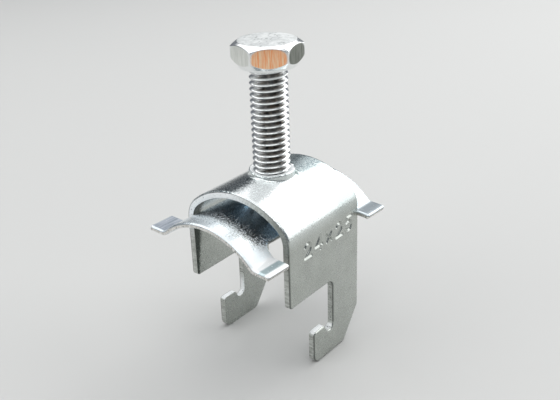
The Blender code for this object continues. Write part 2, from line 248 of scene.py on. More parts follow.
# Mesh: spacing along the outlines, the steps at which blanks bend, how near points count as one, and
# the angle from which an edge is sharp
STRIP_SPACING = 1.0
PAN_SPACING = 0.5
PAN_STEP = 0.4
PAN_REACH = 18.0
HOLE_SIDES = 64
JOIN_WITHIN = 1e-5
CUT_WITHIN = 1e-4
JOIN_METRES = 2e-7
SHEET_SHARP = math.radians(38)
SCREW_SHARP = math.radians(50)
ARC_STEP = 0.12
ROWS_PER_TURN = 20

# Finish, all sheet metal: the middle of a noise's values, the places in the sheet's depth and inset
# where the cut starts and the rolled edge's painted dark reflection lies, and the values at which the
# steel is pitted
NOISE_MIDDLE = (0.35, 0.65)
GRAIN_VALUES = (0.3, 0.7)
CUT_TOP = (-0.30, -0.42)
ROLL_INSET = (0.30, 0.05)
ROLL_DEPTH = (-0.46, -0.34)
ROLL_UPWARD = (0.05, 0.45)
ROLL_DARKNESS = 0.75
UPWARD = (0.3, 0.8)
PITS = (0.62, 0.70)

# Finish: grain and thread relief in millimetres, and how rough and how metallic the torn edge, its
# painted highlights, the head's forged top and its flat with the coppery painted reflection are
GRAIN_RELIEF = 0.05
THREAD_RELIEF = 0.02
TORN_ROUGHNESS = 0.45
TORN_METALLIC = 0.6
BRIGHT_METALLIC = 0.1
FORGED_ROUGHNESS = 0.5
FORGED_METALLIC = 0.5

# Bracket's finish, with its painted highlights and painted dark reflections, in millimetres on the flat
# sheet: each pair is where a change starts and ends
ARCH_BORDER = (19.0, 13.5)
GRAIN_BORDER = (14.0, 20.0)
UNDER_ROOF = (17.0, 13.0)
ROOF_REAR = (1.0, 7.0)
OUTER_FACE = (-0.3, -0.1)
ROOF_RAGGEDNESS = 4.0
ROOF_HIGHLIGHT_LEFT = (0.2, 2.2)
ROOF_HIGHLIGHT_RIGHT = (15.0, 10.0)
ROOF_HIGHLIGHT_REAR = (0.5, -2.5)
DARK_REFLECTION_SLANT = (-1.0, 5.0)
DARK_REFLECTION_SHIFT = -4.9
DARK_REFLECTION_RIGHT = (2.8, 0.8)
DARK_REFLECTION_LEFT = (-5.6, -4.0)
WALL_TOP = 18.0
DARK_BAND_RAGGEDNESS = 1.2
DARK_BAND_WIDTHS = (3.3, 1.3)
DARK_BAND_SHARES = (1.15, 0.7)
ARCH_GLINT_MIDDLE = -9.0
ARCH_GLINT_REACH = (7.0, 16.0)
LEG_GLINT = (12.0, 8.0)
HOOK_BORDER = (-2.5, -1.8)
DARK_CUT_START = (6.0, 13.0)
DARK_CUT_END = (26.0, 18.0)

# Pan's finish, with its painted highlight, in the same way
TAB_ROOT = (14.2, 15.2)
TAB_RIM = (0.30, 0.55)
LEFT_FLARE = (-10.5, -13.0)
FLARE_START = (11.5, 13.0)
FLARE_END = (13.6, 14.8)
DULL_TAB_REACH = (-14.0, -8.0)
REAR_TABS = (12.0, 14.0)
BRIGHT_TAB = (-18.0, -22.0)
BAND_START = (14.8, 15.4)
BAND_END = (17.0, 16.4)
END_HIGHLIGHT_START = (10.2, 11.8)
PAN_HIGHLIGHT_RAGGEDNESS = 20.0
PAN_HIGHLIGHT_REAR = (-6.2, -7.2)
PAN_HIGHLIGHT_LEFT = (-9.0, 5.0)
PAN_HIGHLIGHT_END = (13.6, 12.8)

# Screw's finish: the side on which the thread's roots are painted darkest, as painted shade, and how
# far towards it, and the scuffs' run
ROOT_SHADE_AZIMUTH = math.radians(-42)
ROOT_SHADE_REACH = (1.5, 3.0)
SCUFF_AZIMUTH = math.radians(-51)

# The head's flats: each one's duller and brighter streaks, painted in its own tone as painted light and
# shade, the first with a coppery painted reflection, and the half width, half height, middle height
# above the head's underside and roundness of the patch inside its bright border
PAINTED_FLAT_TONES = (
    ("#FF9F60", "#FFE3BE"),
    ("#585C55", "#888C85"),
    ("#A8ADAA", "#C8CCC9"),
    ("#8B908D", "#B4B8B4"),
    ("#9CA19E", "#BEC2BF"),
    ("#CED0CB", "#EEF0EC"),
)
FLAT_HALF_WIDTH = 3.5
FLAT_HALF_HEIGHT = 1.97
FLAT_MIDDLE = 2.72
FLAT_ROUNDNESS = 2.6

# Studio: the floor's and the surroundings' tones, and each soft box's azimuth from +Y and
# elevation in degrees, distance and size in metres, and radiance
FLOOR_TONE = "#C4C4C2"
FLOOR_ROUGHNESS = 0.8
STUDIO_TONE = "#7A7E83"
SOFTBOXES = (
    ("window_softbox", 28.0, 29.0, 0.70, (0.92, 0.76), 1.7),
    ("high_softbox", -12.0, 46.0, 0.75, (0.64, 0.56), 1.7),
    ("top_softbox", 140.0, 90.0, 0.80, (0.58, 0.58), 1.2),
    ("front_softbox", 140.0, 56.0, 0.80, (0.80, 0.36), 1.9),
    ("left_fill", -92.0, 48.0, 0.70, (0.55, 0.52), 1.3),
    ("front_left_fill", -150.0, 30.0, 0.75, (0.70, 0.45), 1.8),
)
LAMP_AIM = 0.03
FLOOR_HALF = 3.0
FLOOR_CORNERS = ((-1, -1), (1, -1), (1, 1), (-1, 1))

# The picture's frame, and the camera found from the object's own edges in it
PICTURE_WIDTH = 560
FOCAL_PIXELS = 824.4
SENSOR_WIDTH = 36.0
CLIP_START = 0.005
CAMERA_PLACE = np.array((100.846, -125.107, 108.267))
CAMERA_AZIMUTH = 0.66941
CAMERA_ELEVATION = 0.43065
CAMERA_ROLL = -0.035418


def straight_part(start, end, spacing):
    """Evenly spaced points between two others, and the normals to the right of the way."""
    gap = end - start
    pieces = int(np.hypot(*gap) / spacing)
    points = start + gap * np.linspace(0.0, 1.0, pieces + 2)[1:-1, None]
    across = gap / np.hypot(*gap)
    return points, np.tile((across[1], -across[0]), (len(points), 1))


def loop_from_corners(corners, spacing):
    """A closed path with rounded corners, as points and the unit normals that point out of the sheet.

    Each corner's arc touches both of its edges at radius * tan(turn / 2) from the corner, and the
    straight stretches between arcs are filled with evenly spaced points.
    """
    spots = np.array([corner[:2] for corner in corners], float)
    radii = [corner[2] for corner in corners]
    points = []
    normals = []
    count = len(spots)
    for i in range(count):
        arriving = spots[i] - spots[i - 1]
        arriving /= np.hypot(*arriving)
        leaving = spots[(i + 1) % count] - spots[i]
        leaving /= np.hypot(*leaving)
        turn = math.atan2(arriving[0] * leaving[1] - arriving[1] * leaving[0], arriving @ leaving)
        bend = math.copysign(1.0, turn)
        start = spots[i] - arriving * radii[i] * math.tan(abs(turn) / 2)
        center = start + bend * radii[i] * np.array((-arriving[1], arriving[0]))
        steps = max(4, math.ceil(abs(turn) * radii[i] / ARC_STEP))
        angle = math.atan2(*(start - center)[::-1]) + turn * np.linspace(0.0, 1.0, steps + 1)
        round_part = np.stack((np.cos(angle), np.sin(angle)), axis=1)
        if points:
            between, outward = straight_part(points[-1][-1], start, spacing)
            points.append(between)
            normals.append(outward)
        points.append(center + radii[i] * round_part)
        normals.append(bend * round_part)
    between, outward = straight_part(points[-1][-1], points[0][0], spacing)
    points = np.concatenate(points + [between])
    normals = np.concatenate(normals + [outward])
    fresh = np.hypot(*(points - np.roll(points, 1, axis=0)).T) > CUT_WITHIN
    return points[fresh], normals[fresh]


def rim_rings(points, normals, thickness):
    """The rings of a punched edge: its profile of (inset, depth) pairs carried along a closed path."""
    top = [(inset, -depth) for inset, depth in ROLLED_EDGE]
    bottom = [(inset, depth - thickness) for inset, depth in BURRED_EDGE]
    rings = []
    for inset, height in top + bottom:
        flat = points - normals * inset
        rings.append(np.column_stack((flat, np.full(len(flat), height))))
    return rings


class Shell:
    """Vertices and faces gathered from grids, rings and caps before they become one mesh."""

    def __init__(self):
        self.points = []
        self.insets = []
        self.faces = []
        self.count = 0

    def add(self, points, faces, inset=None):
        """Takes in points with faces that count from the first of them."""
        self.points.append(np.asarray(points, float))
        self.insets.append(np.full(len(points), OPEN_FACE) if inset is None else inset)
        self.faces += (np.asarray(faces) + self.count).tolist()
        self.count += len(points)

    def add_grid(self, rows, closed=True, inset=None):
        """Quads between rows of equally many points. A closed grid joins each row's end to its start."""
        height, width = rows.shape[:2]
        ids = np.arange(height * width).reshape(height, width)
        if closed:
            ids = np.concatenate((ids, ids[:, :1]), axis=1)
        corners = (ids[:-1, :-1], ids[1:, :-1], ids[1:, 1:], ids[:-1, 1:])
        spread = None if inset is None else np.repeat(inset, width)
        self.add(rows.reshape(-1, 3), np.stack([ring.ravel() for ring in corners], axis=1), spread)

    def add_fan(self, ring, middle):
        """Triangles from a closed ring to one point, which closes a pole."""
        ids = np.arange(len(ring))
        fan = np.stack((ids, np.roll(ids, -1), np.full(len(ring), len(ring))), axis=1)
        self.add(np.concatenate((ring, [middle])), fan)

    def add_cap(self, loops):
        """A flat cap bounded by its first loop, with the others as holes."""
        points = np.concatenate(loops)
        triangles = tessellate_polygon([[tuple(point) for point in loop] for loop in loops])
        self.add(points, np.array(triangles))

    def to_bmesh(self):
        """The gathered mesh, with each point's inset as an attribute."""
        bm = bmesh.new()
        mesh = bpy.data.meshes.new("gathered")
        mesh.from_pydata(np.concatenate(self.points).tolist(), [], self.faces)
        inset = mesh.attributes.new("inset", "FLOAT", "POINT")
        inset.data.foreach_set("value", np.concatenate(self.insets))
        bm.from_mesh(mesh)
        bpy.data.meshes.remove(mesh)
        return bm


def bent_blank(shell, reach, step, bend):
    """Cuts a flat blank along lines across it, every step out to a reach, and bends it by a function."""
    bm = shell.to_bmesh()
    bmesh.ops.remove_doubles(bm, verts=bm.verts, dist=JOIN_WITHIN)
    for cut in np.arange(-reach, reach + step / 2, step):
        bmesh.ops.bisect_plane(
            bm,
            geom=bm.verts[:] + bm.edges[:] + bm.faces[:],
            dist=CUT_WITHIN,
            plane_co=(cut, 0.0, 0.0),
            plane_no=(1.0, 0.0, 0.0),
        )
    mesh = bpy.data.meshes.new("blank")
    bm.to_mesh(mesh)
    bm.free()
    flat = np.empty(len(mesh.vertices) * 3)
    mesh.vertices.foreach_get("co", flat)
    flat = flat.reshape(-1, 3)
    inset = np.empty(len(flat))
    mesh.attributes["inset"].data.foreach_get("value", inset)
    faces = [tuple(polygon.vertices) for polygon in mesh.polygons]
    bpy.data.meshes.remove(mesh)
    return bend(flat), faces, flat, inset


def finished(name, parts, sharp=SHEET_SHARP):
    """One closed, smooth-shaded object from parts in millimetres, with doubles merged.

    A part is its points, its faces and, for sheet metal, each point's place in the flat blank and how
    far in from the blank's outline it lies, which the mesh keeps as attributes.
    """
    points = np.concatenate([part[0] for part in parts])
    starts = np.cumsum([0] + [len(part[0]) for part in parts[:-1]])
    faces = [[vertex + start for vertex in face] for start, part in zip(starts, parts) for face in part[1]]
    mesh = bpy.data.meshes.new(name)
    mesh.from_pydata((points * MM).tolist(), [], faces)
    if len(parts[0]) > 2:
        place = mesh.attributes.new("sheet", "FLOAT_VECTOR", "POINT")
        place.data.foreach_set("vector", np.concatenate([part[2] for part in parts]).ravel())
        inset = mesh.attributes.new("inset", "FLOAT", "POINT")
        inset.data.foreach_set("value", np.concatenate([part[3] for part in parts]))
    bm = bmesh.new()
    bm.from_mesh(mesh)
    bmesh.ops.remove_doubles(bm, verts=bm.verts, dist=JOIN_METRES)
    bmesh.ops.recalc_face_normals(bm, faces=bm.faces)
    bm.to_mesh(mesh)
    bm.free()
    mesh.shade_smooth()
    mesh.set_sharp_from_angle(angle=sharp)
    obj = bpy.data.objects.new(name, mesh)
    bpy.context.scene.collection.objects.link(obj)
    return obj


def collar_swell(radius):
    """How far plunging the collar lifted the roof: the square of the share of the way left to the edge."""
    share = (PATCH_HALF - radius) / (PATCH_HALF - COLLAR_RADIUS)
    return COLLAR_SWELL * np.clip(share, 0.0, 1.0) ** 2


def bend_strip(flat):
    """Folds the flat blank over the arch.

    The first coordinate is the distance along the outer face from the crown. It runs round the crown's
    arc, then round the shoulder's smaller arc, then straight down the wall. The third, which is
    negative inside the sheet, is added to each arc's radius. The roof swells towards the collar.
    """
    run = np.abs(flat[:, 0])
    angle = np.clip(run / CROWN_RADIUS, 0.0, HALF_ANGLE)
    angle = angle + np.clip((run - CROWN_ARC) / SHOULDER_RADIUS, 0.0, math.pi / 2 - HALF_ANGLE)
    on_crown = run < CROWN_ARC
    radius = np.where(on_crown, CROWN_RADIUS, SHOULDER_RADIUS) + flat[:, 2]
    across = np.where(on_crown, 0.0, SHOULDER_X) + radius * np.sin(angle)
    up = np.where(on_crown, CROWN_Z, SHOULDER_Z) + radius * np.cos(angle)
    up = up - np.maximum(run - CROWN_ARC - SHOULDER_ARC, 0.0)
    up = up + collar_swell(np.hypot(flat[:, 0], flat[:, 1]))
    return np.column_stack((np.sign(flat[:, 0]) * across, flat[:, 1], up))


def wall_run(height):
    """How far along the outer face, from the crown, a height on the wall lies."""
    return CROWN_ARC + SHOULDER_ARC + SHOULDER_Z - height


def strip_outline():
    """The strip's flat outline, anticlockwise: both walls' front edges, hooks, feet and rear edges."""
    relief_floor = HOOK_HEIGHT - RELIEF_DEPTH
    reach = RELIEF_RADIUS + RELIEF_EDGE_RADIUS
    lean = math.asin((relief_floor + RELIEF_RADIUS - HOOK_HEIGHT + RELIEF_EDGE_RADIUS) / reach)
    slope = math.pi / 2 - lean
    edge_y = LEG_FRONT - RELIEF_RADIUS - reach * math.cos(lean)
    upper_y = edge_y + RELIEF_EDGE_RADIUS * math.tan(slope / 2)
    lower_y = upper_y + RELIEF_DEPTH / math.tan(slope)
    half = STRIP_WIDTH / 2
    wall = (
        (WALL_LOWER_EDGE, -half, WALL_CORNER_RADIUS),
        (WALL_LOWER_EDGE, LEG_FRONT, LEG_FILLET),
        (relief_floor, LEG_FRONT, RELIEF_RADIUS),
        (relief_floor, lower_y, RELIEF_RADIUS),
        (HOOK_HEIGHT, upper_y, RELIEF_EDGE_RADIUS),
        (HOOK_HEIGHT, HOOK_FRONT, HOOK_TIP_RADIUS),
        (0.0, HOOK_FRONT, HOOK_TOE_RADIUS),
        (0.0, FOOT_REAR, FOOT_REAR_RADIUS),
        (SLANT_HEIGHT, half, SLANT_RADIUS),
    )
    right = [(wall_run(height), along, radius) for height, along, radius in wall]
    left = [(-run, along, radius) for run, along, radius in reversed(right)]
    return right + left


def square_ring():
    """The points round the square patch at the collar, anticlockwise from the middle of its +X side."""
    side = np.arange(-PATCH_HALF, PATCH_HALF, PATCH_CELL)
    right = np.column_stack((np.full(len(side), PATCH_HALF), side))
    top = np.column_stack((-side, np.full(len(side), PATCH_HALF)))
    ring = np.concatenate((right, top, -right, -top))
    return np.roll(ring, -len(side) // 2, axis=0)


def rim_wobble(angle, seed, size):
    """An uneven line round the collar: cosines of rising frequency, falling size and random phase."""
    dice = np.random.default_rng(seed)
    line = np.zeros_like(angle)
    for wave in RIM_WAVES:
        line += np.cos(wave * angle + dice.uniform(0, 2 * math.pi)) / math.sqrt(wave)
    return size * line


def thread_radius(height, angle, growth=0.0):
    """The radius of a 60 degree right-hand thread at a height and an angle.

    The distance to the nearest crest, measured along the axis, sets it: flat within half a crest's
    width, then falling by the flank's slope, down to the root. Both turns are eased by a smooth
    maximum and minimum.
    """
    phase = (height - CREST_HEIGHT) / THREAD_PITCH - (angle - CREST_AZIMUTH) / (2 * math.pi)
    away = np.abs(phase - np.round(phase)) * THREAD_PITCH
    flank = THREAD_RADIUS - (away - THREAD_CREST) / math.tan(THREAD_FLANK)
    lower = np.logaddexp(flank / THREAD_EASE, THREAD_ROOT / THREAD_EASE) * THREAD_EASE
    upper = -np.logaddexp(-lower / THREAD_EASE * 2, -THREAD_RADIUS / THREAD_EASE * 2)
    return upper * THREAD_EASE / 2 + growth


def roof_height(radius, across):
    """The height of a crown arc of a radius at a distance across from the middle."""
    return CROWN_HEIGHT - CROWN_RADIUS + np.sqrt(radius**2 - across**2)


def collar_rows():
    """The collar and the roof round it, as rows of points that share their angles.

    The rows run in from the square patch to a circle on the roof, up a fillet and the collar's wall,
    over its uneven rim, down the tapped bore, round the mouth and out under the roof.
    """
    ring = square_ring()
    count = len(ring)
    angle = 2 * math.pi * np.arange(count) / count
    cosine = np.cos(angle)
    sine = np.sin(angle)
    rows = []
    sheets = []

    def flat_part(plan_radius, face_radius, height, shares):
        run = face_radius * np.arcsin(plan_radius * cosine / face_radius)
        circle = np.column_stack((run * (CROWN_RADIUS / face_radius), plan_radius * sine))
        for share in shares:
            flat = np.column_stack((ring * (1 - share) + circle * share, np.full(count, height)))
            rows.append(bend_strip(flat))
            sheets.append(flat)

    def round_part(radius, up, height):
        radius = np.broadcast_to(radius, count)
        up = np.broadcast_to(up, count)
        rows.append(np.column_stack((radius * cosine, radius * sine, up)))
        sheets.append(np.column_stack((radius * cosine, radius * sine, np.full(count, height))))

    skirt = COLLAR_RADIUS + COLLAR_SKIRT
    flat_part(skirt, CROWN_RADIUS, 0.0, np.linspace(0.0, 1.0, 13))
    root = COLLAR_RADIUS + COLLAR_ROOT_RADIUS
    for radius in np.linspace(skirt, root, 4)[1:-1]:
        round_part(radius, roof_height(CROWN_RADIUS, radius * cosine) + collar_swell(radius), 0.0)
    for turn in np.linspace(0.0, math.pi / 2, 8):
        radius = root - COLLAR_ROOT_RADIUS * math.sin(turn)
        lift = COLLAR_ROOT_RADIUS * (1 - math.cos(turn)) + collar_swell(radius)
        round_part(radius, roof_height(CROWN_RADIUS, radius * cosine) + lift, 0.0)
    top = COLLAR_TOP + rim_wobble(angle, 4, RIM_RISE_WAVES)
    outer = COLLAR_RADIUS + rim_wobble(angle, 5, RIM_OUTER_WAVES)
    for turn in np.linspace(0.0, math.pi / 2, 5):
        radius = outer - COLLAR_RIM_RADIUS * (1 - math.cos(turn))
        round_part(radius, top - COLLAR_RIM_RADIUS * (1 - math.sin(turn)), 0.0)
    inner = BORE_RADIUS + BORE_EDGE + rim_wobble(angle, 6, RIM_INNER_WAVES)
    round_part((outer + inner) / 2, top + rim_wobble(angle, 7, RIM_INNER_WAVES), -SHEET / 2)
    round_part(inner, top - RIM_INNER_DROP, -SHEET / 2)
    bore_top = COLLAR_TOP - BORE_EDGE_DROP
    mouth_top = CROWN_HEIGHT - SHEET + COLLAR_MOUTH_RADIUS * MOUTH_SHARE
    for height in np.arange(bore_top, mouth_top, -THREAD_PITCH / ROWS_PER_TURN):
        round_part(thread_radius(height, angle, THREAD_CLEARANCE), height, -SHEET / 2)
    inner_face = CROWN_RADIUS - SHEET
    for turn in np.linspace(MOUTH_START, math.pi / 2, 8):
        radius = BORE_RADIUS + COLLAR_MOUTH_RADIUS * (1 - math.cos(turn))
        lift = COLLAR_MOUTH_RADIUS * (1 - math.sin(turn)) + collar_swell(radius)
        round_part(radius, roof_height(inner_face, radius * cosine) + lift, -SHEET)
    flat_part(BORE_RADIUS + COLLAR_MOUTH_RADIUS, inner_face, -SHEET, np.linspace(1.0, 0.0, 10)[1:])
    return np.stack(rows), np.stack(sheets)


def collar_burr():
    """The sliver that the tap threw up beside the collar, as a part for the bracket.

    Its circle's radius swells from nothing and back along a straight path that leaves the collar, as the
    square root of the sine of the share of the way. The sliver stands taller than it is wide.
    """
    share = np.linspace(0.0, 1.0, BURR_ROWS)[:, None]
    around = np.linspace(0.0, 2 * math.pi, BURR_SIDES, endpoint=False)[None, :]
    girth = np.sqrt(np.maximum(np.sin(math.pi * share), 0.0)) + BURR_TIP
    way = np.array((math.cos(BURR_HEADING), math.sin(BURR_HEADING)))
    sideways = BURR_HALF_WIDTH * girth * np.cos(around)
    across = BURR_START[0] + BURR_LENGTH * share * way[0] - sideways * way[1]
    along = BURR_START[1] + BURR_LENGTH * share * way[1] + sideways * way[0]
    floor = roof_height(CROWN_RADIUS, across) + collar_swell(np.hypot(across, along))
    up = floor + BURR_HALF_HEIGHT * girth * np.sin(around)
    grid = np.stack((across, along, up), axis=-1)
    shell = Shell()
    shell.add_grid(grid)
    shell.add_fan(grid[0], grid[0].mean(axis=0))
    shell.add_fan(grid[-1], grid[-1].mean(axis=0))
    points = np.concatenate(shell.points)
    sheet = np.column_stack((points[:, 0], points[:, 1], np.zeros(len(points))))
    return points + SCREW_AXIS, shell.faces, sheet, np.concatenate(shell.insets)


def arc_points(center, radius, start, end, steps=10):
    """Points along an arc between two angles in degrees."""
    angle = np.radians(np.linspace(start, end, steps + 1))
    return np.column_stack((center[0] + radius * np.cos(angle), center[1] + radius * np.sin(angle)))


def stamp_strokes():
    """The plain stamped size, the tunnel's width by the strip's, as strokes in a character's own box."""
    two = np.concatenate((arc_points((0.38, 0.66), 0.32, 160, -35), [(0.04, 0.0), (0.78, 0.0)]))
    four = np.array(((0.60, 0.0), (0.60, 1.0), (0.02, 0.30), (0.80, 0.30)))
    belly = arc_points((0.36, 0.33), 0.33, 125, -145)
    five = np.concatenate(([(0.70, 1.0), (0.16, 1.0), (0.10, 0.58)], belly))
    cross = (np.array(((0.10, 0.16), (0.66, 0.72))), np.array(((0.10, 0.72), (0.66, 0.16))))
    return ((two,), (four,), cross, (two,), (five,))


def distance_to_strokes(along, up):
    """The distance from each point to the nearest stroke, segment by segment."""
    nearest = np.full(along.shape, np.inf)
    for place, strokes in enumerate(stamp_strokes()):
        for stroke in strokes:
            spots = stroke * STAMP_HEIGHT + (STAMP_START + place * STAMP_PITCH, STAMP_BASE)
            for start, end in zip(spots, spots[1:]):
                way = end - start
                share = ((along - start[0]) * way[0] + (up - start[1]) * way[1]) / (way @ way)
                share = np.clip(share, 0.0, 1.0)
                gap = np.hypot(along - start[0] - share * way[0], up - start[1] - share * way[1])
                nearest = np.minimum(nearest, gap)
    return nearest


def stamp_patch():
    """A fine grid on the right wall's outer face, in the blank's coordinates, pressed in by the strokes.

    The groove is a raised cosine across a stroke, and the metal that it pushed aside is a low bell curve.
    """
    low = STAMP_START - STAMP_MARGIN
    high = STAMP_START + len(stamp_strokes()) * STAMP_PITCH
    along = np.linspace(low, high, round((high - low) / STAMP_CELL) + 1)
    up_low = STAMP_BASE - STAMP_MARGIN
    up_high = STAMP_BASE + STAMP_HEIGHT + STAMP_MARGIN
    up = np.linspace(up_high, up_low, round((up_high - up_low) / STAMP_CELL) + 1)
    up_grid, along_grid = np.meshgrid(up, along, indexing="ij")
    gap = distance_to_strokes(along_grid, up_grid) / STAMP_HALF_WIDTH
    groove = np.where(gap < 1.0, np.cos(np.clip(gap, 0.0, 1.0) * math.pi) + 1.0, 0.0) / 2
    lip = np.exp(-(((gap - STAMP_LIP_MIDDLE) / STAMP_LIP_WIDTH) ** 2))
    depth = -STAMP_DEPTH * groove + STAMP_LIP * lip
    edge = np.zeros_like(depth, bool)
    edge[[0, -1], :] = True
    edge[:, [0, -1]] = True
    depth[edge] = 0.0
    return np.stack((wall_run(up_grid), along_grid, depth), axis=-1)


def grid_border(grid):
    """The points round the edge of a grid, in order."""
    return np.concatenate((grid[0, :-1], grid[:-1, -1], grid[-1, :0:-1], grid[:0:-1, 0]))


def make_bracket():
    """The folded strip with its collar, stamped mark and burr."""
    points, normals = loop_from_corners(strip_outline(), STRIP_SPACING)
    rings = rim_rings(points, normals, SHEET)
    shell = Shell()
    shell.add_grid(np.stack(rings), inset=RIM_INSETS)
    ring = square_ring()
    patch = stamp_patch()
    flat_border = grid_border(patch)
    upper_hole = np.column_stack((ring, np.zeros(len(ring))))
    lower_hole = np.column_stack((ring, np.full(len(ring), -SHEET)))
    shell.add_cap((rings[0], upper_hole, flat_border))
    shell.add_cap((rings[-1], lower_hole))
    reach = math.ceil((CROWN_ARC + SHOULDER_ARC) / PATCH_CELL) * PATCH_CELL
    folded, faces, flat, inset = bent_blank(shell, reach, PATCH_CELL, bend_strip)
    rows, sheets = collar_rows()
    collar = Shell()
    collar.add_grid(rows)
    stamp = Shell()
    stamp.add_grid(patch, closed=False)
    stamp_flat = patch.reshape(-1, 3)
    parts = (
        (folded + SCREW_AXIS, faces, flat, inset),
        (collar.points[0] + SCREW_AXIS, collar.faces, sheets.reshape(-1, 3), collar.insets[0]),
        (bend_strip(stamp_flat) + SCREW_AXIS, stamp.faces, stamp_flat, stamp.insets[0]),
        collar_burr(),
    )
    return finished("zinc_bracket", parts)


def bend_pan(flat):
    """Presses the flat pan: an arc over the middle, a reverse bend on each side and flat tabs.

    The distance along the upper face from the crown runs round the arch, then back round the flare,
    whose middle is above the sheet, and then straight out, until the right tab's end droops and the
    left one's lifts on a wide arc. Depth in the sheet shortens the arch's radius and lengthens the
    flare's.
    """
    run = np.abs(flat[:, 0])
    height = flat[:, 2]
    lean = np.clip(run / PAN_ARCH_RADIUS, 0.0, PAN_HALF_ANGLE)
    back = PAN_HALF_ANGLE - np.clip((run - PAN_ARCH) / PAN_FLARE_RADIUS, 0.0, PAN_HALF_ANGLE)
    on_arch = run < PAN_ARCH
    arch_x = (PAN_ARCH_RADIUS + height) * np.sin(lean)
    arch_z = PAN_ARCH_Z + (PAN_ARCH_RADIUS + height) * np.cos(lean)
    flare_z = PAN_FLARE_RADIUS - (PAN_FLARE_RADIUS - height) * np.cos(back)
    outer_x = PAN_FLARE_X - (PAN_FLARE_RADIUS - height) * np.sin(back)
    on_tab = np.maximum(run - PAN_ARCH - PAN_FLARE, 0.0)
    right = flat[:, 0] > 0
    curl = np.where(right, -TAB_DROOP, TAB_LIFT)
    start = np.where(right, TAB_DROOP_START, TAB_LIFT_START)
    turn = np.maximum(on_tab - start, 0.0) * curl
    outer_x += np.minimum(on_tab, start) + np.sin(turn) / curl - height * np.sin(turn)
    flare_z += (1 - np.cos(turn)) / curl - height * (1 - np.cos(turn))
    across = np.where(on_arch, arch_x, outer_x)
    up = np.where(on_arch, arch_z, flare_z)
    return np.column_stack((np.sign(flat[:, 0]) * across, flat[:, 1], up))


def pan_run(across):
    """The distance along the pan's upper face at a distance across, seen from above."""
    side = np.abs(across)
    steepest = math.sin(PAN_HALF_ANGLE)
    on_arch = PAN_ARCH_RADIUS * np.arcsin(np.clip(side / PAN_ARCH_RADIUS, 0.0, steepest))
    back = np.arcsin(np.clip((PAN_FLARE_X - side) / PAN_FLARE_RADIUS, 0.0, steepest))
    on_flare = PAN_ARCH + PAN_FLARE_RADIUS * (PAN_HALF_ANGLE - back)
    run = np.where(side < PAN_FLARE_X - PAN_FLARE_RADIUS * steepest, on_arch, on_flare)
    return np.sign(across) * (run + np.maximum(side - PAN_FLARE_X, 0.0))


def make_pan():
    """The pressed pan with its tabs, notches and hole, skewed as it hangs."""
    right = (
        (PAN_HALF_SPAN, -PAN_HALF_LENGTH, PAN_CORNER_RADIUS),
        (PAN_HALF_SPAN, -PAN_HALF_NECK, PAN_CORNER_RADIUS),
        (PAN_HALF_TROUGH, -PAN_HALF_NECK, PAN_NOTCH_RADIUS),
        (PAN_HALF_TROUGH, PAN_HALF_NECK, PAN_NOTCH_RADIUS),
        (PAN_HALF_SPAN, PAN_HALF_NECK, PAN_CORNER_RADIUS),
        (PAN_HALF_SPAN, PAN_HALF_LENGTH, PAN_CORNER_RADIUS),
    )
    left = tuple((-across, -along, radius) for across, along, radius in right)
    points, normals = loop_from_corners(right + left, PAN_SPACING)
    points[:, 0] = pan_run(points[:, 0])
    outline = rim_rings(points, normals, PAN_SHEET)
    angle = -np.linspace(0.0, 2 * math.pi, HOLE_SIDES, endpoint=False)
    spoke = np.column_stack((np.cos(angle), np.sin(angle)))
    hole = rim_rings(PAN_HOLE_RADIUS * spoke, -spoke, PAN_SHEET)
    shell = Shell()
    shell.add_grid(np.stack(outline), inset=RIM_INSETS)
    shell.add_grid(np.stack(hole), inset=RIM_INSETS)
    shell.add_cap((outline[0], hole[0]))
    shell.add_cap((outline[-1], hole[-1]))
    pressed, faces, flat, inset = bent_blank(shell, PAN_REACH, PAN_STEP, bend_pan)
    skew = np.array(Matrix.Rotation(PAN_ROLL, 3, "Y") @ Matrix.Rotation(PAN_YAW, 3, "Z"))
    placed = pressed @ skew.T + (0.0, 0.0, PAN_CROWN - PAN_ARCH_RISE)
    return finished("zinc_pan", ((placed, faces, flat, inset),))


def hexagon(angle):
    """The radius of a hexagon with rounded edges, by angle.

    Each flat is half the width over the cosine of the angle from its middle. Near an edge it gives way
    to a small circle round a point on the line to the edge.
    """
    offset = (angle - HEAD_AZIMUTH + math.pi / 6) % (math.pi / 3) - math.pi / 6
    flat = ACROSS_FLATS / 2 / np.cos(offset)
    from_edge = math.pi / 6 - np.abs(offset)
    middle = ACROSS_FLATS / math.sqrt(3) - HEX_EDGE_RADIUS / math.cos(math.pi / 6)
    inside = np.maximum(HEX_EDGE_RADIUS**2 - (middle * np.sin(from_edge)) ** 2, 0.0)
    rounded = middle * np.cos(from_edge) + np.sqrt(inside)
    tangent = math.atan2(HEX_EDGE_RADIUS / 2, middle + HEX_EDGE_RADIUS * math.cos(math.pi / 6))
    return np.where(from_edge < tangent, rounded, flat)


def eased_profile(corners, steps=5):
    """A profile of (radius, height, ease) corners, each cut back by its ease and joined by a parabola."""
    spots = np.array([np.stack(np.broadcast_arrays(radius, height)) for radius, height, _ in corners])
    rows = [spots[0]]
    for i in range(1, len(spots) - 1):
        ease = corners[i][2]
        if ease == 0:
            rows.append(spots[i])
            continue
        before = spots[i - 1] - spots[i]
        after = spots[i + 1] - spots[i]
        start = spots[i] + ease * before / np.hypot(*before)
        end = spots[i] + ease * after / np.hypot(*after)
        for share in np.linspace(0.0, 1.0, steps):
            rows.append((1 - share) ** 2 * start + 2 * share * (1 - share) * spots[i] + share**2 * end)
    rows.append(spots[-1])
    return rows


def pan_underside(radius):
    """The lowest that the skewed pan's underside comes within a radius of the screw's axis."""
    reach = radius + abs(PAN_SHIFT_X)
    bend = PAN_ARCH_RADIUS - PAN_SHEET
    sag = bend - math.sqrt(bend**2 - reach**2)
    return PAN_CROWN - PAN_SHEET - sag - reach * math.sin(abs(PAN_ROLL))


